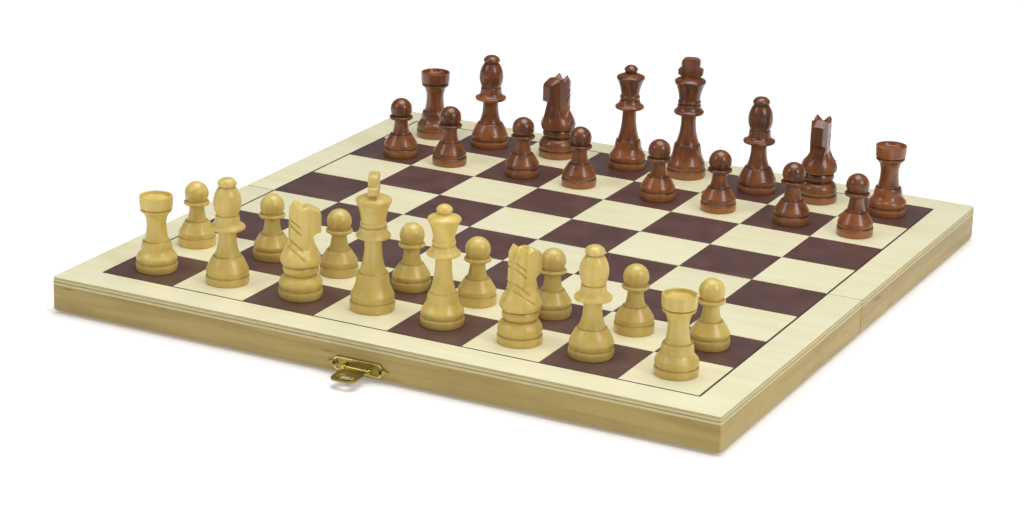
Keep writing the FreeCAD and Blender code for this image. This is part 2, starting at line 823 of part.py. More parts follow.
profile_sizes = {
    kind: [
        (
            driving(f"{kind}_{feature}_radius", radius),
            driving(f"{kind}_{feature}_rise", rise),
            rounding,
        )
        for feature, radius, rise, rounding in rows
    ]
    for kind, rows in PROFILES.items()
}
knight_head_sizes = [
    (driving(f"knight_{feature}_forward", forward), driving(f"knight_{feature}_up", up))
    for feature, forward, up in KNIGHT_HEAD
]


def turned_outline(kind):
    """Half of a turned piece's section, up the outside and back down the axis."""
    corners = [(0.0, 0.0, 0)]
    height = Size(0.0, "0")
    rows = profile_sizes[kind]
    for index, (radius, rise, _) in enumerate(rows):
        height = height + rise
        rounding = rows[index + 1][2] if index + 1 < len(rows) else 0
        across = 0.0 if radius.value == 0 else radius
        corners.append((across, height, rounding))
    return corners, height


def turned(label, kind):
    corners, height = turned_outline(kind)
    body, sketch = sketched_body(label, "XZ_Plane", corners)
    spin = body.newObject("PartDesign::Revolution", f"{label}_spin")
    spin.Profile = sketch
    spin.ReferenceAxis = (sketch, ["V_Axis"])
    spin.Angle = 360
    sketch.Visibility = False
    return body, height


def add_pad(body, label, corners, thickness):
    """Pads a further outline on a body's XZ plane, equally to both sides."""
    sketch = body.newObject("Sketcher::SketchObject", f"{label}_outline")
    sketch.AttachmentSupport = [(origin_plane(body, "XZ_Plane"), "")]
    sketch.MapMode = "FlatFace"
    doc.recompute()
    closed_outline(sketch, corners)
    pad = body.newObject("PartDesign::Pad", f"{label}_pad")
    pad.Profile = sketch
    pad.Midplane = True
    pad.setExpression("Length", as_size(thickness).formula)
    sketch.Visibility = False


def knight_head(body, label):
    corners = [(forward, up, 0) for forward, up in knight_head_sizes]
    add_pad(body, f"{label}_head", corners, knight_head_thickness)


def king_cross(body, label, crown):
    """A stout cross, let into the crown: a broad upright and a narrower bar."""
    half_upright, half_wide = cross_upright_width / 2, cross_width / 2
    foot = crown - cross_seat
    top = crown + cross_height
    bar_low = top - cross_bar_drop - cross_bar_width / 2
    bar_high = bar_low + cross_bar_width
    corners = (
        (half_upright, foot, 0),
        (half_upright, bar_low, 0),
        (half_wide, bar_low, 0),
        (half_wide, bar_high, 0),
        (half_upright, bar_high, 0),
        (half_upright, top, 0),
        (-half_upright, top, 0),
        (-half_upright, bar_high, 0),
        (-half_wide, bar_high, 0),
        (-half_wide, bar_low, 0),
        (-half_upright, bar_low, 0),
        (-half_upright, foot, 0),
    )
    add_pad(body, f"{label}_cross", corners, cross_thickness)


def man(colour, kind, square, off_centre):
    """One man on its square."""
    label = f"{colour}_{kind}_{square}"
    body, height = turned(label, kind)
    if kind == "knight":
        knight_head(body, label)
    if kind == "king":
        king_cross(body, label, height)
    file_number, rank = "abcdefgh".index(square[0]), int(square[1])
    from_fold = rank - 4.5
    half_sign = 1 if from_fold > 0 else -1
    across = (file_number - 3.5) * square_side + off_centre[0]
    along = from_fold * square_side + half_sign * fold_face + off_centre[1]
    turn = Rotation(Vector(0, 0, 1), TURNED.get(square, 0))
    place(body, across, along, top_z, turn)


# ---------------------------------------------------------------- the set

for half in ("near", "far"):
    panel(half)
    rails(half)
    hinge_leaves(half)
    hinge_screws(half)
hinge_pins()
clasp_plate()
clasp_pin()
clasp_tongue()
round_screws("clasp_screws", clasp_screw_spacing, clasp_offset, clasp_plate_z)
catch_plate()
swing(round_screws("catch_screws", catch_screw_spacing, -clasp_offset, catch_z), "far")
for colour, rank, kinds in RANKS:
    for file_letter, kind, off_centre in zip("abcdefgh", kinds, OFF_CENTRE[rank]):
        man(colour, kind, f"{file_letter}{rank}", off_centre)

doc.recompute()

TRAY = ("panel", "front_rail", "hinge_rail", "left_rail", "right_rail")
TRAY += ("hinge_leaves", "hinge_screws")
NODES = [f"{half}_{name}" for half in ("near", "far") for name in TRAY]
NODES += ["hinge_pins", "clasp_plate", "clasp_pin", "clasp_tongue", "clasp_screws"]
NODES += ["catch_plate", "catch_screws"]
NODES += [
    f"{colour}_{kind}_{letter}{rank}"
    for colour, rank, kinds in RANKS
    for letter, kind in zip("abcdefgh", kinds)
]

for item in doc.Objects:
    if "Invalid" in item.State or "Error" in item.State:
        raise RuntimeError(f"{item.Label} did not compute: {item.State}")

os.makedirs("parts", exist_ok=True)
for node in NODES:
    shape = doc.getObjectsByLabel(node)[0].Shape
    if shape.isNull() or not shape.isValid() or shape.Volume <= 0:
        raise RuntimeError(f"{node} has no valid solid")
    shape.exportStep(f"parts/{node}.step")
    print(f"{node}: {len(shape.Solids)} solid(s), {shape.Volume:.1f} mm3")
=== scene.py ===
"""The looks of a folding wooden chess set, open and set up for play.

The board is two plywood-topped trays on butt hinges, with a brass clasp. The men are
turned from pale and stained wood; the knights are carved. Lengths in the tables are
millimetres; meshes are metres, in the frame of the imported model.
"""

import logging
import math
from dataclasses import dataclass, field
from enum import Enum
from typing import Callable, Optional, Sequence, Union

import bmesh
import bpy
from mathutils import Matrix, Vector


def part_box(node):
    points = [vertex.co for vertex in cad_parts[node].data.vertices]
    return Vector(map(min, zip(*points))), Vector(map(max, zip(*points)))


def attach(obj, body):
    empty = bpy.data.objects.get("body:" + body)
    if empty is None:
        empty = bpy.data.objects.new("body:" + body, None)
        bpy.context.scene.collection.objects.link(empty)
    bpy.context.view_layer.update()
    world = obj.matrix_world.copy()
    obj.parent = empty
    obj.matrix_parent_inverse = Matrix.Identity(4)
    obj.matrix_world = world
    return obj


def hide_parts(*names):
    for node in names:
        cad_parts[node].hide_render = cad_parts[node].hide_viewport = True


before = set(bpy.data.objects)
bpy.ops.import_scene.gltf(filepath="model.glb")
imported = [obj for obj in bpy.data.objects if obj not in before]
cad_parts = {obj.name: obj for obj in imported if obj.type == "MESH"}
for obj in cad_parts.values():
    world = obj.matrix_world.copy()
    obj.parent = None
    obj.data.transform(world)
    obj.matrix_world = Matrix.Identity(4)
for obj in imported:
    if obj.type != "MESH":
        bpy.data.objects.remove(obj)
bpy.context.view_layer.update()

LOG = logging.getLogger("chess_set")
MM = 0.001
WELD = 0.002 * MM
UPRIGHT = Matrix.Rotation(math.pi / 2, 4, "X")


# ------------------------------------------------------------------ shader building blocks


class Signal:
    """A number socket; sums on it add Math nodes.

    Attributes:
        bench: The bench that adds the nodes.
        socket: The output socket that carries the number.
    """

    def __init__(self, bench: "Bench", socket: bpy.types.NodeSocket) -> None:
        """Wraps a socket."""
        self.bench = bench
        self.socket = socket

    def apply(self, operation: str, *others: "Number") -> "Signal":
        """Adds a Math node with this number first.

        Args:
            operation: The Math node's operation.
            others: The node's further numbers.

        Returns:
            The node's result.
        """
        return self.bench.maths(operation, self, *others)

    def __add__(self, other: "Number") -> "Signal":
        """Sum."""
        return self.apply("ADD", other)

    def __radd__(self, other: "Number") -> "Signal":
        """Sum, reflected."""
        return self.apply("ADD", other)

    def __sub__(self, other: "Number") -> "Signal":
        """Difference."""
        return self.apply("SUBTRACT", other)

    def __rsub__(self, other: "Number") -> "Signal":
        """Difference, reflected."""
        return self.bench.maths("SUBTRACT", other, self)

    def __mul__(self, other: "Number") -> "Signal":
        """Product."""
        return self.apply("MULTIPLY", other)

    def __rmul__(self, other: "Number") -> "Signal":
        """Product, reflected."""
        return self.apply("MULTIPLY", other)

    def __truediv__(self, other: "Number") -> "Signal":
        """Quotient."""
        return self.apply("DIVIDE", other)

    def above(self, other: "Number") -> "Signal":
        """One where this is more than other, else nothing."""
        return self.apply("GREATER_THAN", other)

    def below(self, other: "Number") -> "Signal":
        """One where this is less than other, else nothing."""
        return self.apply("LESS_THAN", other)

    def between(self, low: float, high: float) -> "Signal":
        """One from low to high, else nothing."""
        return self.above(low) * self.below(high)

    def ramp(self, start: float, end: float, low: float = 0.0, high: float = 1.0) -> "Signal":
        """Runs smoothly from low to high as this goes from start to end.

        Args:
            start: Where the result is low.
            end: Where the result is high.
            low: The result up to start.
            high: The result from end on.

        Returns:
            The smooth step.
        """
        made = self.bench.node(
            "ShaderNodeMapRange",
            {"interpolation_type": "SMOOTHSTEP", "clamp": True},
            {"Value": self, "From Min": start, "From Max": end, "To Min": low, "To Max": high},
        )
        return Signal(self.bench, made.outputs["Result"])


Number = Union[Signal, float]
Colour = tuple[float, float, float]


def linear(red: int, green: int, blue: int) -> Colour:
    """Turns a display colour, 0 to 255 a channel, into a shader colour."""

    def channel(value: int) -> float:
        """One channel's light."""
        share = value / 255
        return share / 12.92 if share <= 0.04045 else ((share + 0.055) / 1.055) ** 2.4

    return channel(red), channel(green), channel(blue)


class Bench:
    """A new material and what is needed to wire it."""

    def __init__(self, name: str) -> None:
        """Starts the material with a Principled shader alone.

        Args:
            name: The material's name.
        """
        self.material = bpy.data.materials.new(name)
        self.material.use_nodes = True
        self.tree = self.material.node_tree
        self.tree.nodes.clear()
        self.shader = self.tree.nodes.new("ShaderNodeBsdfPrincipled")
        output = self.tree.nodes.new("ShaderNodeOutputMaterial")
        self.tree.links.new(self.shader.outputs["BSDF"], output.inputs["Surface"])

    def node(self, kind: str, settings: dict, inputs: dict) -> bpy.types.Node:
        """Adds any node.

        Args:
            kind: The node's type.
            settings: Its properties, set first; "stops" are a ramp's.
            inputs: Values or links of its sockets, by name or number.

        Returns:
            The new node.
        """
        made = self.tree.nodes.new(kind)
        for key, value in settings.items():
            if key == "stops":
                self.set_stops(made.color_ramp, value)
            else:
                setattr(made, key, value)
        for key, value in inputs.items():
            self.feed(made.inputs[key], value)
        return made

    def set_stops(self, ramp: bpy.types.ColorRamp, stops: Sequence[tuple[float, Colour]]) -> None:
        """Gives a colour ramp its stops, in order."""
        while len(ramp.elements) < len(stops):
            ramp.elements.new(1.0)
        for element, (position, colour) in zip(ramp.elements, stops):
            element.position = position
            element.color = (*colour, 1.0)

    def feed(self, socket: bpy.types.NodeSocket, value: object) -> None:
        """Links a signal or socket, or sets a plain value."""
        if isinstance(value, Signal):
            value = value.socket
        if isinstance(value, bpy.types.NodeSocket):
            self.tree.links.new(value, socket)
        elif socket.type == "RGBA":
            socket.default_value = (*value, 1.0)
        else:
            socket.default_value = value

    def maths(self, operation: str, *numbers: Number) -> Signal:
        """Adds a Math node on numbers."""
        made = self.node("ShaderNodeMath", {"operation": operation}, dict(enumerate(numbers)))
        return Signal(self, made.outputs[0])

    def place(self, centre: Vector, scale: Vector) -> bpy.types.NodeSocket:
        """Object coordinates about a centre, stretched by a scale."""
        coordinates = self.node("ShaderNodeTexCoord", {}, {})
        settings = {"vector_type": "POINT"}
        made = self.node(
            "ShaderNodeMapping",
            settings,
            {
                "Vector": coordinates.outputs["Object"],
                "Location": tuple(-c * s for c, s in zip(centre, scale)),
                "Scale": tuple(scale),
            },
        )
        return made.outputs["Vector"]

    def axes(self, vector: bpy.types.NodeSocket) -> tuple[Signal, Signal, Signal]:
        """The three parts of a vector."""
        made = self.node("ShaderNodeSeparateXYZ", {}, {0: vector})
        x, y, z = (Signal(self, made.outputs[number]) for number in range(3))
        return x, y, z

    def grain(
        self, vector: bpy.types.NodeSocket, scale: float, detail: float = 4.0, warp: float = 0.0
    ) -> Signal:
        """Fractal noise, from nothing to one."""
        made = self.node(
            "ShaderNodeTexNoise",
            {"noise_dimensions": "3D", "normalize": True},
            {"Vector": vector, "Scale": scale, "Detail": detail, "Distortion": warp},
        )
        return Signal(self, made.outputs[0])

    def mix(self, share: Number, first: object, second: object, blend: str = "MIX") -> object:
        """Mixes two colours."""
        made = self.node(
            "ShaderNodeMix",
            {"data_type": "RGBA", "blend_type": blend, "clamp_factor": True},
            {0: share, 6: first, 7: second},
        )
        return made.outputs[2]

    def bump(self, height: Signal, strength: float, depth: float) -> None:
        """Roughens the surface by a height."""
        made = self.node(
            "ShaderNodeBump", {}, {"Strength": strength, "Distance": depth, "Height": height}
        )
        self.feed(self.shader.inputs["Normal"], made.outputs["Normal"])

    def finish(self, **inputs: object) -> bpy.types.Material:
        """Sets the shader's sockets, by name with underscores for spaces."""
        for key, value in inputs.items():
            self.feed(self.shader.inputs[key.replace("_", " ")], value)
        return self.material


# ------------------------------------------------------------------ finishes


class GrainRun(Enum):
    """The way wood fibres run."""

    ALONG_X = (0.06, 1.0, 1.0)
    ALONG_Y = (1.0, 0.06, 1.0)
    UPRIGHT = (1.0, 1.0, 0.06)


@dataclass(frozen=True)
class Wood:
    """Lacquered wood with fibres, growth bands and pores.

    Attributes:
        name: The finish's name.
        early: Colour of the pale growth.
        late: Colour of the dark growth.
        pore: Colour of the pores and flecks.
        band: How strongly the growth bands show.
        fibre: How strongly the fine fibres show.
        flecks: How much of the surface has flecks.
        roughness: Roughness of the lacquer.
        coat: Weight of the clear coat.
        coat_roughness: Roughness of the clear coat.
    """

    name: str
    early: Colour
    late: Colour
    pore: Colour
    band: float
    fibre: float
    flecks: float
    roughness: float
    coat: float
    coat_roughness: float

    def colour(self, bench: Bench, run: GrainRun, centre: Vector) -> tuple[object, Signal]:
        """Paints the bare wood.

        Args:
            bench: The bench to work on.
            run: The way the fibres run.
            centre: Where the pattern is centred.

        Returns:
            The colour's socket and the fibre pattern.
        """
        stretched = bench.place(centre, Vector(run.value))
        band = bench.grain(stretched, 160.0, 2.0, 0.8).ramp(0.35, 0.68)
        fibre = bench.grain(stretched, 2200.0, 3.0)
        fleck = bench.grain(stretched, 700.0, 1.0).ramp(0.70, 0.78) * self.flecks
        patch = bench.grain(bench.place(centre, Vector((1, 1, 1))), 45.0, 2.0).ramp(0.3, 0.7)
        share = band * self.band + (fibre - 0.5) * self.fibre + (patch - 0.5) * 0.25
        wood = bench.mix(share, self.early, self.late)
        return bench.mix(fleck, wood, self.pore), fibre

    def dress(self, run: GrainRun, centre: Vector, label: str) -> bpy.types.Material:
        """Makes the material for one flat piece."""
        bench = Bench(f"{self.name}_{label}")
        wood, fibre = self.colour(bench, run, centre)
        bench.bump(fibre, 0.12, 0.04 * MM)
        return bench.finish(
            Base_Color=wood,
            Roughness=fibre * 0.12 + (self.roughness - 0.06),
            Coat_Weight=self.coat,
            Coat_Roughness=self.coat_roughness,
        )


KNIGHT_HEIGHT = 40.0

PALE_BOARD = Wood(
    "pale_veneer", linear(243, 238, 202), linear(234, 225, 178), linear(212, 196, 142),
    0.45, 0.35, 0.25, 0.42, 0.25, 0.25,
)
RAIL_WOOD = Wood(
    "rail_wood", linear(184, 160, 92), linear(160, 135, 70), linear(104, 80, 38),
    0.75, 0.55, 0.8, 0.48, 0.15, 0.3,
)
PALE_MAN = Wood(
    "pale_turned", linear(226, 200, 112), linear(206, 174, 84), linear(168, 132, 60),
    0.7, 0.45, 0.15, 0.36, 0.3, 0.18,
)
DARK_MAN = Wood(
    "dark_turned", linear(150, 86, 42), linear(90, 46, 22), linear(50, 24, 12),
    0.9, 0.9, 0.3, 0.36, 0.55, 0.12,
)


@dataclass(frozen=True)
class Metal:
    """Stamped sheet or wire, with faint tarnish and rubbed patches.

    Attributes:
        name: The finish's name.
        bright: Colour of the rubbed metal.
        dull: Colour of the tarnish.
        roughness: Roughness where it is bright.
    """

    name: str
    bright: Colour
    dull: Colour
    roughness: float

    def dress(self) -> bpy.types.Material:
        """Makes the material."""
        bench = Bench(self.name)
        everywhere = bench.place(Vector((0, 0, 0)), Vector((1, 1, 1)))
        drawn = bench.place(Vector((0, 0, 0)), Vector((0.2, 1, 1)))
        tarnish = bench.grain(everywhere, 420.0, 2.0).ramp(0.5, 0.8) * 0.7
        scratch = bench.grain(drawn, 6000.0, 2.0)
        bench.bump(scratch, 0.06, 0.01 * MM)
        return bench.finish(
            Base_Color=bench.mix(tarnish, self.bright, self.dull),
            Metallic=1.0,
            Roughness=tarnish * 0.12 + scratch * 0.05 + self.roughness,
        )


BRASS = Metal("brass", linear(214, 194, 112), linear(130, 112, 54), 0.16)
# Painted shade: a darker copy of the brass for the flat sheets of the clasp plate and the tongue;
# their raised rims and barrel keep the bright brass.
SHADED_BRASS = Metal("shaded_brass", linear(158, 140, 76), linear(98, 84, 40), 0.3)
# Painted shade in the screws' cross slots.
SLOT_SHADE = Metal("slot_shade", linear(64, 52, 28), linear(38, 32, 20), 0.6)
PLATED = Metal("plated_steel", linear(172, 154, 92), linear(104, 90, 50), 0.28)


@dataclass(frozen=True)
class ManFinish:
    """Turned wood with thinner stain low down and on the rims, and painted shade with a darker line
    in its grooves.

    Attributes:
        wood: The wood and its lacquer.
        thin: Colour where the stain is rubbed thin.
        thin_share: How much of it shows on the foot ring.
        bump: How deep the turning lines and fibres are.
        groove_shade_and_line: What the colour is multiplied by in grooves: painted shade there,
            with a darker line.
        deep: What it is multiplied by on the head, which takes more stain.
    """

    wood: Wood
    thin: Colour
    thin_share: float
    bump: float
    groove_shade_and_line: Colour
    deep: Colour

    def dress(
        self, label: str, centre: Vector, tone: float, turning: "Turning", carved: bool
    ) -> bpy.types.Material:
        """Makes the material for one man.

        Args:
            label: The man's name.
            centre: The middle of his foot on the board.
            tone: How much darker or lighter than the others he is, from -1 to 1.
            turning: His outline.
            carved: Whether the mesh has its carved grooves marked.

        Returns:
            The material.
        """
        grooves, tall = turning.grooves(), turning.points()[-1].height
        if carved:
            tall = KNIGHT_HEIGHT
        bench = Bench(f"{self.wood.name}_{label}")
        shift = Vector((tone * 0.004, tone * 0.003, 0))
        wood, fibre = self.wood.colour(bench, GrainRun.UPRIGHT, centre + shift)
        _, _, z = bench.axes(bench.place(centre, Vector((1, 1, 1))))
        foot = z.ramp(4.2 * MM, 2.6 * MM) * self.thin_share
        cloud = bench.grain(bench.place(centre + shift, Vector((1, 1, 0.5))), 110.0, 3.0)
        worn = cloud.ramp(0.45, 0.75) * (self.thin_share * 0.8)
        rubbed = bench.mix(foot + worn, wood, self.thin)
        shade = 1.0 + 0.10 * tone
        toned = bench.mix(1.0, rubbed, (shade, shade, shade * (1 - 0.04 * tone)), "MULTIPLY")
        if turning.dark_head:
            crown = z.ramp(tall * 0.60 * MM, tall * 0.74 * MM) * cloud.ramp(0.2, 0.6, 0.6, 1.0)
            deep = bench.mix(1.0, toned, self.deep, "MULTIPLY")
            toned = bench.mix(crown, toned, deep)
        # Painted shade, with a darker line, in the turned grooves and in the knight's carved
        # grooves.
        groove_shade_and_line_share: Number = 0.0
        for height in grooves:
            gap = (z - height * MM).apply("ABSOLUTE")
            groove_shade_and_line_share = gap.ramp(0.4 * MM, 0.12 * MM) + groove_shade_and_line_share
        if carved:
            made = bench.node("ShaderNodeAttribute", {"attribute_name": "carved"}, {})
            groove_shade_and_line_share = Signal(bench, made.outputs["Fac"]) + groove_shade_and_line_share
        # The grooves' colour is multiplied down: painted shade with a darker line.
        groove_shade_and_line = bench.mix(1.0, toned, self.groove_shade_and_line, "MULTIPLY")
        toned = bench.mix(groove_shade_and_line_share * 0.75, toned, groove_shade_and_line)
        rings = bench.grain(bench.place(centre, Vector((0.05, 0.05, 1))), 3200.0, 2.0)
        bench.bump(rings * 0.7 + fibre * 0.5, self.bump, 0.03 * MM)
        return bench.finish(
            Base_Color=toned,
            Roughness=fibre * 0.1 + (self.wood.roughness - 0.05),
            Coat_Weight=self.wood.coat,
            Coat_Roughness=self.wood.coat_roughness,
        )


# The fifth colour of each finish darkens the grooves: painted shade with a darker line.
PALE_FINISH = ManFinish(
    PALE_MAN, linear(222, 188, 112), 0.25, 0.12, (0.68, 0.58, 0.42), (1.0, 1.0, 1.0)
)
DARK_FINISH = ManFinish(
    DARK_MAN, linear(168, 106, 56), 0.6, 0.15, (0.26, 0.2, 0.18), (0.62, 0.54, 0.5)
)


@dataclass(frozen=True)
class Chequer:
    """The printed playing field on the veneer of one half.

    Attributes:
        side: A square's side.
        line: Width of the line round the field.
        ink: Colour of the dark squares.
        ink_worn: Colour where the ink is thinner.
        line_ink: Colour of the line round the field.
    """

    side: float
    line: float
    ink: Colour = linear(86, 58, 54)
    ink_worn: Colour = linear(104, 74, 70)
    line_ink: Colour = linear(66, 42, 34)

    def dress(self, label: str, fold_y: float) -> bpy.types.Material:
        """Makes the veneer with its print.

        Args:
            label: The half's name.
            fold_y: Where the half's fold edge is.

        Returns:
            The material.
        """
        bench = Bench(f"printed_veneer_{label}")
        veneer, fibre = PALE_BOARD.colour(bench, GrainRun.ALONG_X, Vector((0.07, 0.02, 0)))
        x, y, _ = bench.axes(bench.place(Vector((0, fold_y, 0)), Vector((1, 1, 1))))
        file_number = x * (1 / self.side) + 4.0
        rank_number = y * (1 / self.side) + 4.0
        odd = (file_number.apply("FLOOR") + rank_number.apply("FLOOR")).apply("MODULO", 2.0)
        field_edge = 4 * self.side
        out = x.apply("ABSOLUTE").apply("MAXIMUM", y.apply("ABSOLUTE"))
        squares = (1.0 - odd) * out.below(field_edge)
        frame_line = out.between(field_edge, field_edge + self.line)
        printed = squares.apply("MAXIMUM", frame_line)
        cloud = bench.grain(bench.place(Vector((0, 0, 0)), Vector((1, 1, 1))), 70.0, 4.0)
        speck = bench.grain(bench.place(Vector((0, 0, 0)), Vector((0.3, 1, 1))), 1500.0, 2.0)
        ink_share = cloud.ramp(0.35, 0.7) * 0.7 + speck.ramp(0.5, 0.75) * 0.3
        ink = bench.mix(ink_share, self.ink, self.ink_worn)
        ink = bench.mix(frame_line, ink, self.line_ink)
        bench.bump(fibre * 0.6 + printed * 0.4, 0.1, 0.03 * MM)
        return bench.finish(
            Base_Color=bench.mix(printed, veneer, ink),
            Roughness=fibre * 0.1 + cloud * 0.12 + (0.34 - 0.04 * printed),
            Coat_Weight=0.25,
            Coat_Roughness=0.25,
        )


@dataclass(frozen=True)
class PlyEdge:
    """The plies seen on the edge of a panel, from the top down.

    Attributes:
        bottom: The height of the panel's underside.
        bands: For each ply, how far its top is above the underside, and its colour.
    """

    bottom: float
    bands: tuple[tuple[float, Colour], ...]

    def dress(self, label: str) -> bpy.types.Material:
        """Makes the material of a panel's edge and underside."""
        bench = Bench(f"ply_edge_{label}")
        _, _, z = bench.axes(bench.place(Vector((0, 0, self.bottom)), Vector((1, 1, 1))))
        along = bench.place(Vector((0, 0, 0)), Vector((0.12, 0.12, 1)))
        streak = bench.grain(along, 1800.0, 3.0)
        wobble = (bench.grain(bench.place(Vector((0, 0, 0)), Vector((1, 1, 0.2))), 60.0) - 0.5)
        height = z + wobble * (0.12 * MM)
        colour: object = self.bands[0][1]
        for (top, _), (_, tone) in zip(self.bands, self.bands[1:]):
            colour = bench.mix(height.above(top * MM), colour, tone)
        dark = bench.mix(1.0, colour, (0.72, 0.68, 0.6), "MULTIPLY")
        colour = bench.mix(streak.ramp(0.4, 0.75) * 0.45, colour, dark)
        bench.bump(streak, 0.2, 0.05 * MM)
        return bench.finish(Base_Color=colour, Roughness=0.55, Coat_Weight=0.1, Coat_Roughness=0.3)


# ------------------------------------------------------------------ mesh building blocks


class Blank:
    """A piece being shaped in a bmesh."""

    def __init__(self) -> None:
        """Starts with nothing on the bench."""
        self.bm = bmesh.new()

    def spin(self, outline: Sequence[Vector], steps: int) -> "Blank":
        """Turns an outline about the upright axis.

        Args:
            outline: Points from the foot's centre up to the top's centre, in XZ.
            steps: How many facets go round.

        Returns:
            This blank.
        """
        verts = [self.bm.verts.new(point) for point in outline]
        edges = [self.bm.edges.new(pair) for pair in zip(verts, verts[1:])]
        bmesh.ops.spin(
            self.bm, geom=verts + edges, cent=(0, 0, 0), axis=(0, 0, 1), dvec=(0, 0, 0),
            angle=2 * math.pi, steps=steps, use_merge=True, use_normal_flip=False,
            use_duplicate=False,
        )
        bmesh.ops.remove_doubles(self.bm, verts=self.bm.verts, dist=WELD)
        return self

    def outline(self, corners: Sequence[tuple[float, float, float]], height: float) -> "Blank":
        """Lays a flat face with rounded corners.

        Args:
            corners: x, y and corner radius, in order round the face.
            height: The face's height.

        Returns:
            This blank.
        """
        verts = [self.bm.verts.new((x, y, height)) for x, y, _ in corners]
        self.bm.faces.new(verts)
        for vert, (_, _, radius) in zip(verts, corners):
            if radius:
                bmesh.ops.bevel(
                    self.bm, geom=[vert], offset=radius, offset_type="OFFSET", segments=5,
                    profile=0.5, affect="VERTICES", material=-1,
                )
        return self

    def raise_faces(
        self, faces: Sequence[bmesh.types.BMFace], move: Callable[[Vector], Vector]
    ) -> list[bmesh.types.BMFace]:
        """Extrudes faces and moves the new ones.

        Args:
            faces: The faces to extrude.
            move: Takes a corner's place to its new one.

        Returns:
            The moved faces.
        """
        made = bmesh.ops.extrude_face_region(self.bm, geom=list(faces))["geom"]
        for vert in made:
            if isinstance(vert, bmesh.types.BMVert):
                vert.co = move(vert.co.copy())
        return [face for face in made if isinstance(face, bmesh.types.BMFace)]

    def lift(self, height: float) -> "Blank":
        """Extrudes every face up by a height."""
        self.raise_faces(self.bm.faces[:], lambda co: co + Vector((0, 0, height)))
        self.turn_out()
        return self

    def turn_out(self) -> "Blank":
        """Makes every face point outwards."""
        bmesh.ops.recalc_face_normals(self.bm, faces=self.bm.faces[:])
        return self

    def soften(
        self, width: float, angle: float = 28.0, segments: int = 2,
        wanted: Optional[Callable[[bmesh.types.BMEdge], bool]] = None,
    ) -> "Blank":
        """Rounds the sharp edges.

        Args:
            width: How far the rounding reaches from the edge.
            angle: The least angle between faces that counts as sharp, in degrees.
            segments: How many facets the rounding has.
            wanted: Says which edges are rounded; all of them if it isn't given.

        Returns:
            This blank.
        """
        self.bm.normal_update()
        sharp = [
            edge for edge in self.bm.edges
            if len(edge.link_faces) == 2
            and edge.calc_face_angle(0.0) > math.radians(angle)
            and (wanted is None or wanted(edge))
        ]
        bmesh.ops.bevel(
            self.bm, geom=sharp, offset=width, offset_type="OFFSET", segments=segments,
            profile=0.5, affect="EDGES", clamp_overlap=True, material=-1,
        )
        return self

    def move(self, matrix: Matrix) -> "Blank":
        """Moves the whole blank."""
        bmesh.ops.transform(self.bm, matrix=matrix, verts=self.bm.verts[:])
        return self

    def add(self, other: "Blank") -> "Blank":
        """Puts another blank's shape beside this one's."""
        spare = bpy.data.meshes.new("spare")
        other.bm.to_mesh(spare)
        other.bm.free()
        self.bm.from_mesh(spare)
        bpy.data.meshes.remove(spare)
        return self

    def mesh(self, name: str) -> bpy.types.Mesh:
        """Makes the mesh and clears the bench."""
        made = bpy.data.meshes.new(name)
        self.bm.to_mesh(made)
        self.bm.free()
        return made


def show(
    mesh: bpy.types.Mesh, body: str, nodes: Sequence[str],
    materials: Sequence[bpy.types.Material], crease: float = 38.0,
) -> bpy.types.Object:
    """Puts a finished mesh in the scene as a piece.

    Args:
        mesh: The finished mesh, in place; its name is the piece's.
        body: The body it rides on.
        nodes: The CAD nodes it stands for.
        materials: Its materials, in the order of the faces' numbers.
        crease: The angle over which an edge is shown sharp, in degrees.

    Returns:
        The piece.
    """
    for material in materials:
        mesh.materials.append(material)
    mesh.polygons.foreach_set("use_smooth", [True] * len(mesh.polygons))
    mesh.set_sharp_from_angle(angle=math.radians(crease))
    piece = bpy.data.objects.new(mesh.name, mesh)
    bpy.context.scene.collection.objects.link(piece)
    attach(piece, body)
    if nodes:
        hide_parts(*nodes)
    LOG.info("%s: %d faces, on %s", mesh.name, len(mesh.polygons), body)
    return piece


@dataclass(frozen=True)
class Row:
    """A point on a turned outline, in millimetres.

    Attributes:
        radius: How far it is from the axis.
        height: How far it is above the foot.
        bulge: How round the stretch up to it is: the tangent of a quarter of its arc.
    """

    radius: float
    height: float
    bulge: float = 0.0


def traced(rows: Sequence[Row], step: float = 0.55) -> list[Vector]:
    """Follows an outline's lines and arcs.

    Args:
        rows: The outline, from the foot up.
        step: The longest stretch between points, in millimetres.

    Returns:
        Points in XZ, in metres, from the foot's centre to the top's centre.
    """
    points = [Vector((0, 0, rows[0].height)), Vector((rows[0].radius, 0, rows[0].height))]
    for first, last in zip(rows, rows[1:]):
        start = Vector((first.radius, 0, first.height))
        end = Vector((last.radius, 0, last.height))
        chord = end - start
        if last.bulge:
            share, sign = abs(last.bulge), math.copysign(1, last.bulge)
            radius = chord.length * (1 + share * share) / (4 * share)
            sweep = 4 * math.atan(last.bulge)
            aside = Vector((chord.z, 0, -chord.x)).normalized() * sign
            centre = start + chord / 2 + aside * (share * chord.length / 2 - radius)
            count = max(3, math.ceil(abs(sweep) * radius / step), math.ceil(abs(sweep) / 0.2))
            arm = start - centre
            for number in range(1, count):
                turned = Matrix.Rotation(-sweep * number / count, 3, "Y") @ arm
                points.append(centre + turned)
        else:
            count = max(1, math.ceil(chord.length / step))
            points += [start + chord * (number / count) for number in range(1, count)]
        points.append(end)
    if points[-1].x > 0:
        points.append(Vector((0, 0, points[-1].z)))
    return [point * MM for point in points]


# ------------------------------------------------------------------ the board


class Half(Enum):
    """The two halves of the board, by how far each is turned about the upright line."""

    NEAR = 0
    FAR = 180

    @property
    def label(self) -> str:
        """The half's name in the model."""
        return self.name.lower()

    @property
    def body(self) -> str:
        """The body that the half's pieces ride on."""
        return f"{self.label}_half"

    @property
    def turn(self) -> Matrix:
        """Takes the near half's shapes to this half."""
        return Matrix.Rotation(math.radians(self.value), 4, "Z")


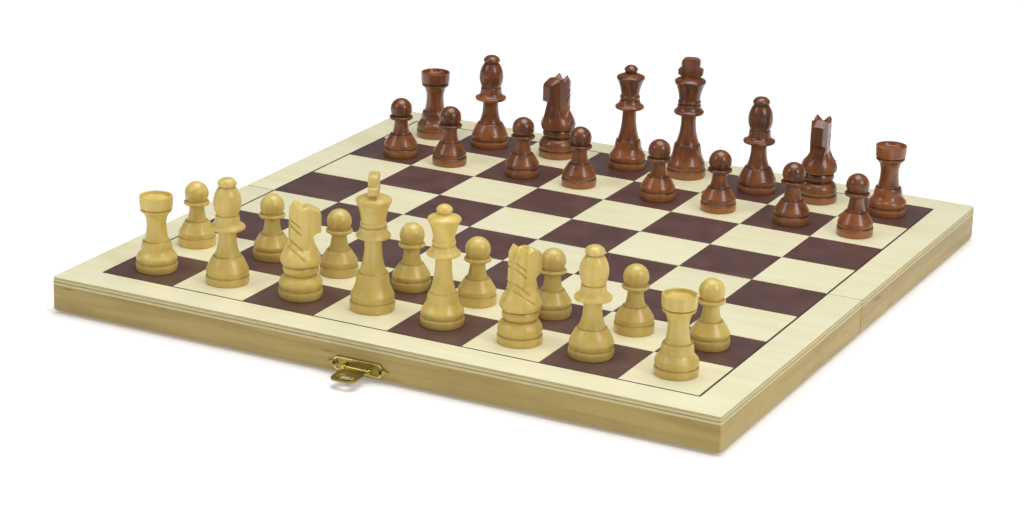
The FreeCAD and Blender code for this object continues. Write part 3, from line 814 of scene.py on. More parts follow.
@dataclass
class Board:
    """The two trays: panels and rails.

    Attributes:
        corner_radius: Radius of the upright corners away from the fold.
        fold_radius: Radius of the upright corners at the fold.
        edge_radius: Rounding of the panel's top edge.
        foot_radius: Rounding of the rails' lower outer edge.
        rail: Thickness of the rails.
        border_line: Width of the printed line.
        border: Width of the margin round the field.
        groove: Depth of the joint lines between plies.
        ply_tops: Heights of the joints between plies above the panel's underside.
    """

    corner_radius: float = 1.1
    fold_radius: float = 0.6
    edge_radius: float = 0.45
    foot_radius: float = 1.1
    rail: float = 8.0
    border_line: float = 0.95
    border: float = 15.6
    groove: float = 0.03
    ply_tops: tuple[float, ...] = (1.05, 1.55, 2.2)
    low: Vector = field(init=False)
    high: Vector = field(init=False)
    rim_z: float = field(init=False)

    def __post_init__(self) -> None:
        """Reads the near panel's and rail's places from the model."""
        self.low, self.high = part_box("near_panel")
        self.rim_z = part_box("near_front_rail")[0].z

    @property
    def square(self) -> float:
        """A square's side, in metres."""
        return (self.high.x - self.border * MM) / 4

    def build(self) -> None:
        """Builds and dresses both halves."""
        for half in Half:
            self.panel(half)
            self.long_rail(half)
            for name, sign in (("left", -1), ("right", 1)):
                self.side_rail(half, name, sign)
            node = f"{half.label}_hinge_rail"
            centre = half.turn @ Vector((0.05, -0.004, 0.007))
            wear(node, RAIL_WOOD.dress(GrainRun.ALONG_X, centre, node))

    def corners(self) -> list[tuple[float, float, float]]:
        """The near panel's corners, with their radii."""
        big, small = self.corner_radius * MM, self.fold_radius * MM
        left, right, front, fold = self.low.x, self.high.x, self.low.y, self.high.y
        return [(left, front, big), (right, front, big), (right, fold, small), (left, fold, small)]

    def panel(self, half: Half) -> None:
        """The plywood panel with its printed field."""
        blank = Blank().outline(self.corners(), self.low.z)
        middle = (self.low.y + self.high.y) / 2

        def ring(height: float, inset: float) -> Callable[[Vector], Vector]:
            """Takes a corner to a height, drawn in from the outline."""

            def moved(co: Vector) -> Vector:
                """The corner's new place."""
                x = co.x - math.copysign(inset, co.x)
                y = co.y - math.copysign(inset, co.y - middle)
                return Vector((x, y, height))

            return moved

        top = blank.bm.faces[:]
        groove = self.groove * MM
        for joint in self.ply_tops:
            height = self.low.z + joint * MM
            top = blank.raise_faces(top, ring(height - groove, 0.0))
            top = blank.raise_faces(top, ring(height, groove))
            top = blank.raise_faces(top, ring(height + groove, -groove))
        round_edge = self.edge_radius * MM
        top = blank.raise_faces(top, ring(self.high.z - round_edge, 0.0))
        for number in range(1, 5):
            angle = number * math.pi / 8
            drop = round_edge * (1 - math.sin(angle))
            inset = round_edge * (math.cos(angle - math.pi / 8) - math.cos(angle))
            top = blank.raise_faces(top, ring(self.high.z - drop, inset))
        blank.turn_out()
        blank.move(half.turn)
        for face in blank.bm.faces:
            face.material_index = 0 if face.calc_center_median().z > self.high.z - 0.3 * MM else 1
        fold_y = (half.turn @ Vector((0, self.high.y, 0))).y
        chequer = Chequer(self.square, self.border_line * MM)
        plies = PlyEdge(
            self.low.z,
            (
                (self.ply_tops[0], linear(214, 198, 148)),
                (self.ply_tops[1], linear(160, 142, 92)),
                (self.ply_tops[2], linear(222, 210, 160)),
                (3.5, linear(196, 180, 126)),
            ),
        )
        name = f"{half.label}_panel"
        materials = [chequer.dress(half.label, fold_y), plies.dress(half.label)]
        show(blank.mesh(f"{name}_ply"), half.body, [name], materials)

    def rail_blank(self, corners: Sequence[tuple[float, float, float]]) -> Blank:
        """A rail's block, from the rims up to the panel."""
        blank = Blank().outline(corners, self.rim_z)
        return blank.lift(self.low.z - self.rim_z)

    def finish_rail(self, blank: Blank, half: Half, name: str, run: GrainRun) -> None:
        """Rounds a rail's lower edges, swings it to its half and dresses it."""
        blank.soften(0.25 * MM, angle=60.0)
        blank.move(half.turn)
        centre = half.turn @ Vector((0.03, -0.1, 0.004))
        node = f"{half.label}_{name}"
        material = RAIL_WOOD.dress(run, centre, node)
        show(blank.mesh(f"{node}_wood"), half.body, [node], [material])

    def long_rail(self, half: Half) -> None:
        """The rail along the front, mitred at both ends."""
        side, front, thick = self.high.x, self.low.y, self.rail * MM
        radius = self.corner_radius * MM
        cut = radius * (1 - math.sqrt(0.5))
        blank = self.rail_blank(
            [
                (-side + radius, front, 0), (side - radius, front, 0),
                (side - cut, front + cut, 0), (side - thick, front + thick, 0),
                (-side + thick, front + thick, 0), (-side + cut, front + cut, 0),
            ]
        )
        self.round_foot(blank, lambda co: co.y < front + cut * 1.01)
        self.finish_rail(blank, half, "front_rail", GrainRun.ALONG_X)

    def side_rail(self, half: Half, name: str, sign: int) -> None:
        """A rail along one side, mitred at both ends."""
        side, front, fold, thick = self.high.x, self.low.y, self.high.y, self.rail * MM
        radius = self.corner_radius * MM
        cut = radius * (1 - math.sqrt(0.5))
        corners = [
            (side - cut, front + cut, 0), (side, front + radius, 0), (side, fold - 0.3 * MM, 0),
            (side - 0.3 * MM, fold, 0), (side - thick, fold - thick, 0),
            (side - thick, front + thick, 0),
        ]
        if sign < 0:
            corners = [(-x, y, radius) for x, y, radius in reversed(corners)]
        blank = self.rail_blank(corners)
        self.round_foot(blank, lambda co: abs(co.x) > side - cut * 1.01 and co.y < fold - 0.4 * MM)
        self.finish_rail(blank, half, f"{name}_rail", GrainRun.ALONG_Y)

    def round_foot(self, blank: Blank, outside: Callable[[Vector], bool]) -> None:
        """Rounds the lower outer edge of a rail."""
        low = self.rim_z + 0.01 * MM

        def lower(edge: bmesh.types.BMEdge) -> bool:
            """Whether the edge is on the outside of the rail's foot."""
            return all(vert.co.z < low and outside(vert.co) for vert in edge.verts)

        blank.soften(self.foot_radius * MM, angle=40.0, segments=4, wanted=lower)


def wear(node: str, material: bpy.types.Material) -> None:
    """Gives a carried-over CAD node its material."""
    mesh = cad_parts[node].data
    mesh.materials.clear()
    mesh.materials.append(material)


# ------------------------------------------------------------------ the men


@dataclass(frozen=True)
class Turning:
    """A man's turned outline.

    Attributes:
        rows: Radius, rise and bulge of each point, from the foot up, in millimetres.
        dark_head: Whether the head takes more stain than the rest.
    """

    rows: tuple[tuple[float, float, float], ...]
    dark_head: bool = True

    def points(self) -> list[Row]:
        """The rows with their heights added up."""
        height, made = 0.0, []
        for radius, rise, bulge in self.rows:
            height += rise
            made.append(Row(radius, height, bulge))
        return made

    def grooves(self) -> list[float]:
        """Heights of the cut lines, where the finish darkens the colour: painted shade with a
        darker line.
        """
        found = []
        for (_, rise, bulge), row in zip(self.rows, self.points()):
            if 0.1 < rise <= 0.55 and not bulge:
                found.append(row.height - rise / 2)
        return found


TURNINGS = {
    "pawn": Turning((
        (7.9, 0, 0), (8.1, 3.7, 0.1), (7.6, 0.3, 0), (7.9, 1.4, 0.15), (7.5, 1.2, 0.2),
        (5.0, 4.1, 0.02), (4.2, 0.3, 0), (3.2, 6.5, -0.08), (5.2, 0.55, 0), (5.2, 1.45, 0.6),
        (4.3, 0.4, 0), (0, 8.1, 0.6),
    )),
    "rook": Turning((
        (8.5, 0, 0), (8.7, 3.2, 0.1), (8.2, 0.3, 0), (8.6, 1.6, 0.15), (8.2, 1.6, 0.2),
        (6.5, 2.4, -0.1), (5.8, 3.6, 0.12), (5.0, 0.3, 0), (4.2, 5.7, -0.05), (4.9, 5.1, -0.12),
        (6.5, 1.9, -0.1), (6.4, 0.8, 0.45), (6.0, 0.35, 0), (6.8, 0.4, 0.2), (7.0, 4.95, 0.03),
        (6.2, 0.0, 0), (5.6, -1.6, -0.1), (0, -0.4, -0.05),
    ), dark_head=False),
    "knight": Turning((
        (8.8, 0, 0), (9.0, 3.2, 0.1), (8.3, 0.3, 0), (6.5, 5.9, 0.45), (6.1, 0.4, 0),
        (6.9, 3.4, 0.46), (6.6, 0.45, 0), (7.3, 0.25, 0), (0, 0, 0),
    )),
    "bishop": Turning((
        (8.8, 0, 0), (9.0, 3.1, 0.1), (8.4, 0.3, 0), (8.8, 1.6, 0.15), (8.5, 1.6, 0.2),
        (5.9, 5.0, 0.08), (5.3, 0.3, 0), (3.8, 10.5, -0.12), (7.2, 0.8, 0), (7.1, 1.4, 0.5),
        (5.2, 2.0, -0.3), (4.9, 2.5, 0), (4.5, 0.3, 0), (3.5, 11.7, 0.3), (3.2, 0.3, 0),
        (4.0, 0.9, 0.35), (3.6, 1.2, 0.2), (0, 1.3, 0.3),
    )),
    "queen": Turning((
        (8.7, 0, 0), (8.9, 3.2, 0.1), (8.3, 0.3, 0), (8.7, 1.6, 0.15), (8.2, 1.6, 0.2),
        (6.4, 3.4, -0.08), (5.8, 3.4, 0.06), (5.2, 0.3, 0), (3.35, 14.5, -0.09), (6.6, 0.7, 0),
        (6.5, 1.4, 0.5), (4.8, 2.4, -0.25), (4.4, 0.5, 0), (4.3, 2.3, 0.4), (6.4, 7.4, -0.1),
        (6.2, 1.7, 0.5), (2.4, 1.6, 0), (3.3, 1.7, 0.2), (0, 2.0, 0.28),
    )),
    "king": Turning((
        (9.0, 0, 0), (9.2, 3.6, 0.1), (8.6, 0.3, 0), (8.9, 1.6, 0.15), (8.5, 1.8, 0.2),
        (6.9, 4.2, -0.05), (6.1, 4.2, 0.06), (5.6, 0.3, 0), (3.7, 13.8, -0.12), (6.8, 0.7, 0),
        (6.7, 1.5, 0.5), (5.5, 2.8, -0.25), (5.0, 0.4, 0), (5.0, 1.8, 0.5), (7.0, 7.9, -0.1),
        (6.9, 1.8, 0.5), (2.4, 1.5, 0.12), (0, 0, 0),
    )),
}
ROUND_STEPS = 64
EDGE_WEAR = 0.12 * MM
GRAIN_TURN = 47.0


def between_rows(rows: Sequence[tuple[float, float]], at: float) -> float:
    """Reads a value off a table of places and values, straight between its rows."""
    for (low, first), (high, last) in zip(rows, rows[1:]):
        if at <= high:
            return first + (last - first) * max(0.0, at - low) / (high - low)
    return rows[-1][1]


@dataclass(frozen=True)
class Horse:
    """The carved half of a knight, looking along +X; all in millimetres.

    Each level is a turned bell cut by flat facets, joined to a block with flat sides.

    Attributes:
        foot: Where the carving starts.
        shoulder: Where the steps up the sides start to follow the top.
        bell: Heights and radii of the turned bell.
        chest: Heights and how far forward the block's front is.
        back: Heights and how far behind the axis its back is.
        cheek: Heights and half the thickness that the facets leave.
        chest_facet: Heights and how far forward the bell is left.
        crest: How far forward, and the height of the top there.
        notch: Depth of the notch between the ears.
        ear_aside: How far aside of the middle the ears' tips are.
        cuts: The grooves in each flank: forward and up, from end to end.
        cut_depth: Depth of a groove.
        cut_width: How far from its middle a groove reaches.
    """

    foot: float = 13.9
    shoulder: float = 35.0
    bell: tuple[tuple[float, float], ...] = (
        (13.9, 7.3), (14.2, 7.9), (14.8, 8.25), (15.6, 8.42), (16.4, 8.38), (17.2, 8.15),
        (18.2, 7.78), (19.4, 7.2), (20.8, 6.4), (22.2, 5.72), (24.0, 5.05), (27.0, 4.5),
    )
    chest: tuple[tuple[float, float], ...] = (
        (13.0, 8.0), (18.0, 7.3), (25.3, 4.7), (26.2, 4.5), (26.9, 5.4), (27.9, 8.0),
        (35.0, 8.1), (36.9, 7.2),
    )
    back: tuple[tuple[float, float], ...] = ((13.0, 7.6), (16.2, 7.4), (21.4, 4.9), (37.0, 4.5))
    cheek: tuple[tuple[float, float], ...] = ((13.0, 12.0), (18.0, 8.4), (21.0, 5.2), (23.5, 4.0))
    chest_facet: tuple[tuple[float, float], ...] = ((13.0, 14.0), (18.4, 8.2), (26.0, 4.6))
    crest: tuple[tuple[float, float], ...] = (
        (-4.9, 36.4), (-4.3, 37.2), (-2.2, 40.1), (-1.3, 39.6), (0.4, 38.3), (2.9, 39.0),
        (7.0, 36.9), (8.1, 36.0),
    )
    notch: float = 2.7
    ear_aside: float = 3.1
    cuts: tuple[tuple[float, float, float, float], ...] = (
        (-5.2, 34.2, -0.3, 29.8), (-5.2, 31.9, 0.2, 26.3), (-5.4, 25.6, 0.8, 20.0),
        (-5.4, 22.2, 1.2, 16.7),
    )
    cut_depth: float = 0.5
    cut_width: float = 0.42

    def facets(self, height: float) -> list[tuple[float, float, float]]:
        """The block's sides at a height: the way each faces, and how far out it is."""
        front = between_rows(self.chest, height)
        back = between_rows(self.back, height)
        half = 3.95
        planes = [(1.0, 0.0, front), (-1.0, 0.0, back)]
        for side in (-1.0, 1.0):
            planes.append((0.0, side, half))
            planes.append(self.plane(3.2, half, 8.2, 2.75, side))
            planes.append(self.plane(-2.6, half, -5.0, 2.7, side))
        return planes

    def plane(
        self, x1: float, y1: float, x2: float, y2: float, side: float
    ) -> tuple[float, float, float]:
        """The upright facet through two points, on one side."""
        along, across = x2 - x1, y2 - y1
        length = math.hypot(along, across)
        nx, ny = -across / length, along / length
        if ny < 0:
            nx, ny = -nx, -ny
        return nx, ny * side, nx * x1 + ny * y1

    def reach(self, planes: Sequence[tuple[float, float, float]], angle: float) -> float:
        """How far a ray from the axis goes before it meets a facet."""
        ahead, aside = math.cos(angle), math.sin(angle)
        found = 99.0
        for nx, ny, distance in planes:
            facing = nx * ahead + ny * aside
            if facing > 1e-6:
                found = min(found, distance / facing)
        return found

    def radius(self, height: float, angle: float) -> float:
        """The carving's radius at a height, in a direction."""
        block = self.reach(self.facets(height), angle)
        if height > 27.0:
            return block
        cheek = between_rows(self.cheek, height)
        chest = between_rows(self.chest_facet, height)
        cut = self.reach([(0, 1, cheek), (0, -1, cheek), (1, 0, chest)], angle)
        return max(block, min(between_rows(self.bell, height), cut))

    def top(self, x: float, y: float) -> float:
        """The height of the head's top."""
        height = between_rows(self.crest, x)
        aside = abs(y)
        behind = max(0.0, min(1.0, (2.2 - x) / 1.8))
        height -= self.notch * behind * max(0.0, 1 - aside / (self.ear_aside - 0.3))
        height -= 1.6 * behind * max(0.0, aside - self.ear_aside)
        return height - 0.35 * (1 - behind) * max(0.0, aside - 1.6)

    def carved(self, point: Vector) -> tuple[Vector, float]:
        """Sinks a point where a groove passes.

        Returns:
            The point's new place, and how deep in a groove it is, up to one.
        """
        nearest = 99.0
        for x1, z1, x2, z2 in self.cuts:
            along, up = x2 - x1, z2 - z1
            share = ((point.x - x1) * along + (point.z - z1) * up) / (along * along + up * up)
            share = min(1.0, max(0.0, share))
            gap = math.hypot(point.x - x1 - along * share, point.z - z1 - up * share)
            nearest = min(nearest, gap + 0.5 * max(0.0, share - 0.85) / 0.15)
        if nearest > self.cut_width or abs(point.y) < 1.0:
            return point, 0.0
        depth = 1 - (nearest / self.cut_width) ** 2
        sunk = abs(point.y) - self.cut_depth * depth
        return Vector((point.x, math.copysign(sunk, point.y), point.z)), depth

    def blank(self, steps: int = 144, step: float = 0.24) -> Blank:
        """Builds the carving, its grooves marked in the "carved" layer."""
        made = Blank()
        layer = made.bm.verts.layers.float.new("carved")
        angles = [2 * math.pi * number / steps for number in range(steps)]
        rim = [self.radius(36.0, angle) for angle in angles]
        levels: list[list[Vector]] = []
        count = round((self.shoulder - self.foot) / step)
        for number in range(count + 1):
            height = self.foot + (self.shoulder - self.foot) * number / count
            levels.append([self.at(self.radius(height, a), a, height) for a in angles])
        side_steps = 8
        for number in range(1, side_steps + 1):
            share = number / side_steps
            ring = []
            for angle, edge in zip(angles, rim):
                radius = edge if number == side_steps else self.radius(self.shoulder, angle)
                radius = radius + (edge - radius) * share
                end = self.at(edge, angle, 0)
                height = self.shoulder + (self.top(end.x, end.y) - self.shoulder) * share
                ring.append(self.at(radius, angle, height))
            levels.append(ring)
        cap_steps = 24
        for number in range(1, cap_steps):
            share = 1 - number / cap_steps
            ring = []
            for angle, edge in zip(angles, rim):
                flat = self.at(edge * share, angle, 0)
                ring.append(Vector((flat.x, flat.y, self.top(flat.x, flat.y))))
            levels.append(ring)
        rings = []
        for level in levels:
            ring = []
            for point in level:
                moved, depth = self.carved(point)
                vert = made.bm.verts.new(moved * MM)
                vert[layer] = depth
                ring.append(vert)
            rings.append(ring)
        for lower, upper in zip(rings, rings[1:]):
            for number in range(steps):
                after = (number + 1) % steps
                made.bm.faces.new((lower[number], lower[after], upper[after], upper[number]))
        made.bm.faces.new(rings[0])
        made.bm.faces.new(rings[-1])
        return made.turn_out()

    def at(self, radius: float, angle: float, height: float) -> Vector:
        """The point at a radius, a direction and a height."""
        return Vector((radius * math.cos(angle), radius * math.sin(angle), height))


def cross_patty(seat: float) -> Blank:
    """The king's stout cross, let into the crown.

    Args:
        seat: The crown's height, in millimetres.
    """
    top, arm, upright = 9.0, 5.8, 4.45
    right = [
        (4.1, -1.6), (3.9, 0.2), (4.9, 0.7), (arm, 1.1), (arm + 0.05, 3.5), (4.9, 4.15),
        (3.95, 4.5), (upright, 6.2), (upright - 0.15, 7.6), (3.2, top - 0.25), (1.6, top),
    ]
    corners = [(x * MM, y * MM, 0) for x, y in right]
    corners += [(-x * MM, y * MM, 0) for x, y in reversed(right)]
    blank = Blank().outline(corners, -2.05 * MM).lift(4.1 * MM)
    blank.soften(0.4 * MM, angle=24.0, segments=3)
    return blank.move(Matrix.Translation((0, 0, seat * MM)) @ UPRIGHT)


@dataclass
class Army:
    """All the men on the board.

    Attributes:
        headings: How far each man that has a front is turned, in degrees.
        horse: The carved half of a knight.
    """

    headings: dict[str, float] = field(
        default_factory=lambda: {
            "c1": 38, "d1": 114, "f1": 66, "c8": 246, "e8": 15, "g8": 275,
        }
    )
    horse: Horse = field(default_factory=Horse)
    shapes: dict[str, bpy.types.Mesh] = field(default_factory=dict)

    def shape(self, kind: str) -> bpy.types.Mesh:
        """One man of a kind, foot at the origin; built once."""
        if kind not in self.shapes:
            turning = TURNINGS[kind]
            blank = Blank().spin(traced(turning.points()), ROUND_STEPS)
            blank.turn_out().soften(EDGE_WEAR)
            if kind == "knight":
                blank.bm.verts.layers.float.new("carved")
                blank.add(self.horse.blank())
            if kind == "king":
                blank.add(cross_patty(turning.points()[-1].height))
            self.shapes[kind] = blank.mesh(f"{kind}_shape")
        return self.shapes[kind]

    def build(self) -> None:
        """Puts every man on its square."""
        number = 0
        for node in sorted(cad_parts):
            if node.startswith(("pale_", "dark_")):
                self.place(node, number)
                number += 1
        for shape in self.shapes.values():
            bpy.data.meshes.remove(shape)

    def place(self, node: str, number: int) -> None:
        """Puts one man where its CAD node stands.

        Args:
            node: The man's name: its colour, kind and square.
            number: Its turn, which sets its tone.
        """
        colour, kind, square = node.split("_")
        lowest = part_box(node)[0].z
        foot = [v.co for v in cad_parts[node].data.vertices if v.co.z < lowest + 0.1 * MM]
        centre = (Vector(map(min, zip(*foot))) + Vector(map(max, zip(*foot)))) / 2
        centre.z = lowest
        mesh = self.shape(kind).copy()
        mesh.name = f"{node}_carved" if kind == "knight" else f"{node}_turned"
        heading = math.radians(self.headings.get(square, GRAIN_TURN * number))
        mesh.transform(Matrix.Translation(centre) @ Matrix.Rotation(heading, 4, "Z"))
        tone = math.sin(12.9898 * (number + 1)) * 43758.5453 % 1.0 * 2 - 1
        finish = PALE_FINISH if colour == "pale" else DARK_FINISH
        material = finish.dress(node, centre, tone, TURNINGS[kind], kind == "knight")
        show(mesh, node, [node], [material])


# ------------------------------------------------------------------ the brass



def arc_to(start: Vector, end: Vector, bulge: float, count: int = 6) -> list[Vector]:
    """Points along an arc, after its start and up to its end."""
    if not bulge:
        return [end]
    chord = end - start
    aside = Vector((chord.y, -chord.x))
    radius_share = (1 - bulge * bulge) / (4 * bulge)
    centre = start + chord / 2 - aside * radius_share
    sweep = 4 * math.atan(bulge)
    arm = start - centre
    return [centre + Matrix.Rotation(sweep * n / count, 2) @ arm for n in range(1, count + 1)]


def loop(corners: Sequence[tuple[float, float, float]]) -> list[Vector]:
    """A closed outline in millimetres; each corner has the bulge of the stretch after it."""
    points: list[Vector] = []
    for (x, y, bulge), (next_x, next_y, _) in zip(corners, [*corners[1:], corners[0]]):
        points += arc_to(Vector((x, y)), Vector((next_x, next_y)), bulge)
    return points


def ellipse(across: float, high: float, middle: float, count: int = 36) -> list[Vector]:
    """An oval outline."""
    turns = [2 * math.pi * number / count for number in range(count)]
    return [Vector((across * math.cos(t), middle + high * math.sin(t))) for t in turns]


def sheet(
    outlines: Sequence[Sequence[Vector]], thick: float, wear_width: float = 0.1, finish: int = 0
) -> Blank:
    """Sheet metal cut to an outline, with openings, lying from zero up.

    Args:
        outlines: The outer outline, then the openings, in millimetres.
        thick: The sheet's thickness, in millimetres.
        wear_width: Rounding of its edges, in millimetres.
        finish: Number of the finish it has in the piece.
    """
    blank = Blank()
    edges = []
    for outline in outlines:
        verts = [blank.bm.verts.new((p.x * MM, p.y * MM, 0)) for p in outline]
        edges += [blank.bm.edges.new(pair) for pair in zip(verts, verts[1:] + verts[:1])]
    bmesh.ops.triangle_fill(blank.bm, use_beauty=True, edges=edges)
    bmesh.ops.dissolve_limit(
        blank.bm, angle_limit=0.01, verts=blank.bm.verts[:], edges=blank.bm.edges[:]
    )
    blank.lift(thick * MM).soften(wear_width * MM, angle=50.0)
    for face in blank.bm.faces:
        face.material_index = finish
    return blank


def tube(outer: float, inner: float, long: float) -> Blank:
    """A rolled barrel along X, centred, in millimetres."""
    half, edge = long / 2, 0.12
    points = [
        (inner, -half), (outer - edge, -half), (outer, edge - half), (outer, half - edge),
        (outer - edge, half), (inner, half), (inner, -half),
    ]
    blank = Blank().spin([Vector((r * MM, 0, z * MM)) for r, z in points], 32)
    return blank.turn_out().move(Matrix.Rotation(math.pi / 2, 4, "Y"))


def cross_head(radius: float, high: float, flat: bool, turn: float) -> Blank:
    """A screw head with a cross slot, lying from zero up, in millimetres.

    Args:
        radius: The head's radius.
        high: Its height.
        flat: Whether the top is flat, as on a countersunk head.
        turn: How far the slot is turned, in degrees.
    """
    count, slot, reach = 24, 0.17, 0.68
    blank = Blank()
    marks = [math.sin(math.pi / 2 * (2 * n / count - 1)) for n in range(count + 1)]
    marks += [-slot - 0.02, -slot + 0.02, slot - 0.02, slot + 0.02]
    marks = sorted(set(marks))
    grid = []
    for u in marks:
        line = []
        for v in marks:
            x, y = u * math.sqrt(1 - v * v / 2), v * math.sqrt(1 - u * u / 2)
            out = min(1.0, math.hypot(x, y))
            top = 1.0 if flat else 0.25 + 0.75 * math.sqrt(1 - 0.96 * out * out)
            cut = min(abs(u), abs(v)) < slot and max(abs(u), abs(v)) < reach
            z = (top - 0.6) if cut else top
            line.append(blank.bm.verts.new((x * radius * MM, y * radius * MM, z * high * MM)))
        grid.append(line)
    for u, first, second in zip(marks, grid, grid[1:]):
        for n, v in enumerate(marks[:-1]):
            face = blank.bm.faces.new((first[n], second[n], second[n + 1], first[n + 1]))
            # Faces in the cross slot take the second finish: painted shade.
            inner = min(abs(u + 0.04), abs(v + 0.04)) < slot + 0.03
            face.material_index = int(inner and max(abs(u), abs(v)) < reach + 0.05)
    foot = -0.5 if flat else 0.0
    border = [edge for edge in blank.bm.edges if edge.is_boundary]
    made = bmesh.ops.extrude_edge_only(blank.bm, edges=border)["geom"]
    for vert in made:
        if isinstance(vert, bmesh.types.BMVert):
            vert.co = Vector((vert.co.x * (1 + foot), vert.co.y * (1 + foot), foot * high * MM))
    border = [edge for edge in blank.bm.edges if edge.is_boundary]
    bmesh.ops.contextual_create(blank.bm, geom=border)
    blank.turn_out()
    return blank.move(Matrix.Rotation(math.radians(turn), 4, "Z"))


@dataclass
class Fittings:
    """The clasp, the catch and their screws, in millimetres.

    Attributes:
        plate_long: Half the clasp plate's length, to its points.
        plate_high: Half its height.
        screw_aside: How far its screws are from its middle.
        window: Half the sides of the opening in it.
        barrel: Radius of the tongue's rolled barrel.
        thick: Thickness of the sheet.
        lug_thick: Width of each lug along the pin.
        splay: How far the tongue stands out from hanging, in degrees.
        tongue_long: The tongue's length below the pin.
        tongue_half: Half its width.
        eye_middle: Height of the eye's middle, from the pin.
        eye_half: Half the eye's width.
        eye_high: Half the eye's height.
    """

    plate_long: float = 13.75
    plate_high: float = 3.0
    screw_aside: float = 10.4
    window: tuple[float, float] = (4.75, 1.3)
    barrel: float = 1.0
    thick: float = 0.6
    lug_thick: float = 1.6
    splay: float = 86.0
    tongue_long: float = 12.4
    tongue_half: float = 5.5
    eye_middle: float = -8.4
    eye_half: float = 2.3
    eye_high: float = 1.3

    def build(self) -> None:
        """Builds and dresses all the brass."""
        # The second brass is painted shade on the flat sheets of the clasp plate and the tongue.
        brass, dull, plated = BRASS.dress(), SHADED_BRASS.dress(), PLATED.dress()
        self.clasp([brass, dull])
        self.tongue([brass, dull])
        # The second finish is painted shade in the cross slots.
        slotted = [plated, SLOT_SHADE.dress()]
        self.screws(slotted, "clasp", Half.NEAR, self.screw_aside)
        self.catch([brass, dull])
        self.screws(slotted, "catch", Half.FAR, 4.6)
        wear("clasp_pin", plated)
        for node in ("near_hinge_leaves", "far_hinge_leaves"):
            wear(node, brass)
        for node in ("near_hinge_screws", "far_hinge_screws", "hinge_pins"):
            wear(node, plated)

    def face(self, node: str) -> tuple[float, float]:
        """The middle of a fitting's node across, and up."""
        low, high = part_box(node)
        return (low.x + high.x) / 2, (low.z + high.z) / 2

    def clasp(self, brass: Sequence[bpy.types.Material]) -> None:
        """The pointed plate with its window, rim and lugs."""
        long, tall, end = self.plate_long, self.plate_high, self.screw_aside
        neck, waist = end - 1.4, self.plate_high * 0.86
        bow = 0.2
        outer = loop(
            [
                (long, 0, -bow), (end, waist, bow), (neck, tall, 0), (-neck, tall, bow),
                (-end, waist, -bow), (-long, 0, -bow), (-end, -waist, bow),
                (-neck, -tall, 0), (neck, -tall, bow), (end, -waist, -bow),
            ]
        )
        side, up = self.window
        hole = loop([(side, -up, 0), (side, up, 0), (-side, up, 0), (-side, -up, 0)])
        # The plate's flat sheet takes the second finish: painted shade inside the raised rim.
        blank = sheet([outer, hole], self.thick, 0.08, 1)
        rim_outer = [Vector((p.x * 0.985, p.y * 0.96)) for p in outer]
        rim_inner = [Vector((p.x * 0.93, p.y * 0.74)) for p in outer]
        rim = sheet([rim_outer, rim_inner], self.thick + 0.22, 0.1)
        blank.add(rim)
        back = -self.front()
        x, z = self.face("clasp_plate")
        blank.move(Matrix.Translation((x, back, z)) @ UPRIGHT)
        pin_low, pin_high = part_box("clasp_pin")
        axis = (pin_low + pin_high) / 2
        reach = abs(axis.y) - self.front()
        for sign in (-1, 1):
            lug = self.lug(reach)
            away = sign * (side + self.lug_thick / 2) * MM
            lug.move(Matrix.Translation((axis.x + away, back, axis.z)))
            blank.add(lug)
        show(blank.mesh("clasp_plate_brass"), "near_half", ["clasp_plate"], brass, 30.0)

    def lug(self, reach: float) -> Blank:
        """A rolled lug that holds the pin, standing off the plate along -Y."""
        far, wide = reach / MM, self.lug_thick
        outline = [(0.0, -1.0, 0.0), (far, -1.0, 1.0), (far, 1.0, 0.0), (0.0, 1.0, 0.0)]
        blank = sheet([loop(outline)], wide, 0.12)
        turned = Matrix(((0, 0, -1, wide / 2 * MM), (-1, 0, 0, 0), (0, 1, 0, 0), (0, 0, 0, 1)))
        return blank.move(turned)

    def front(self) -> float:
        """How far the front rails' faces are from the fold."""
        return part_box("far_front_rail")[1].y

    def tongue(self, brass: Sequence[bpy.types.Material]) -> None:
        """The hanging tongue: rolled barrel, sheet, and the raised oval about its eye."""
        half, wide, long = 4.5, self.tongue_half, self.tongue_long
        toe, heel, shoulder = 0.35 * 2 * wide, -0.72 * long, -0.3 * long
        bow = 0.3
        outer = loop(
            [
                (half, 0, 0), (-half, 0, 0), (-half, -1.5, -0.1), (-wide, shoulder, 0),
                (-wide, heel, bow), (-toe, -long, 0), (toe, -long, bow), (wide, heel, 0),
                (wide, shoulder, -0.1), (half, -1.5, 0),
            ]
        )
        straight = self.eye_half - self.eye_high
        eye = loop(
            [
                (straight, self.eye_middle - self.eye_high, 1.0),
                (straight, self.eye_middle + self.eye_high, 0),
                (-straight, self.eye_middle + self.eye_high, 1.0),
                (-straight, self.eye_middle - self.eye_high, 0),
            ]
        )
        # The tongue's sheet takes the second finish: painted shade beside the raised oval and the
        # barrel.
        blank = sheet([outer, eye], self.thick, 0.08, 1)
        raised = ellipse(3.9, 2.7, self.eye_middle + 0.1)
        inner = ellipse(2.95, 1.85, self.eye_middle + 0.05)
        blank.add(sheet([raised, inner], self.thick + 0.28, 0.14))
        blank.move(Matrix.Translation((0, 0, -self.thick / 2 * MM))).move(UPRIGHT)
        blank.add(tube(self.barrel, 0.5, 9.0))
        low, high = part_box("clasp_pin")
        axis = (low + high) / 2
        swung = Matrix.Rotation(math.radians(-self.splay), 4, "X")
        blank.move(Matrix.Translation(axis) @ swung)
        mesh = blank.mesh("clasp_tongue_brass")
        show(mesh, "clasp_tongue", ["clasp_tongue"], brass, 30.0)

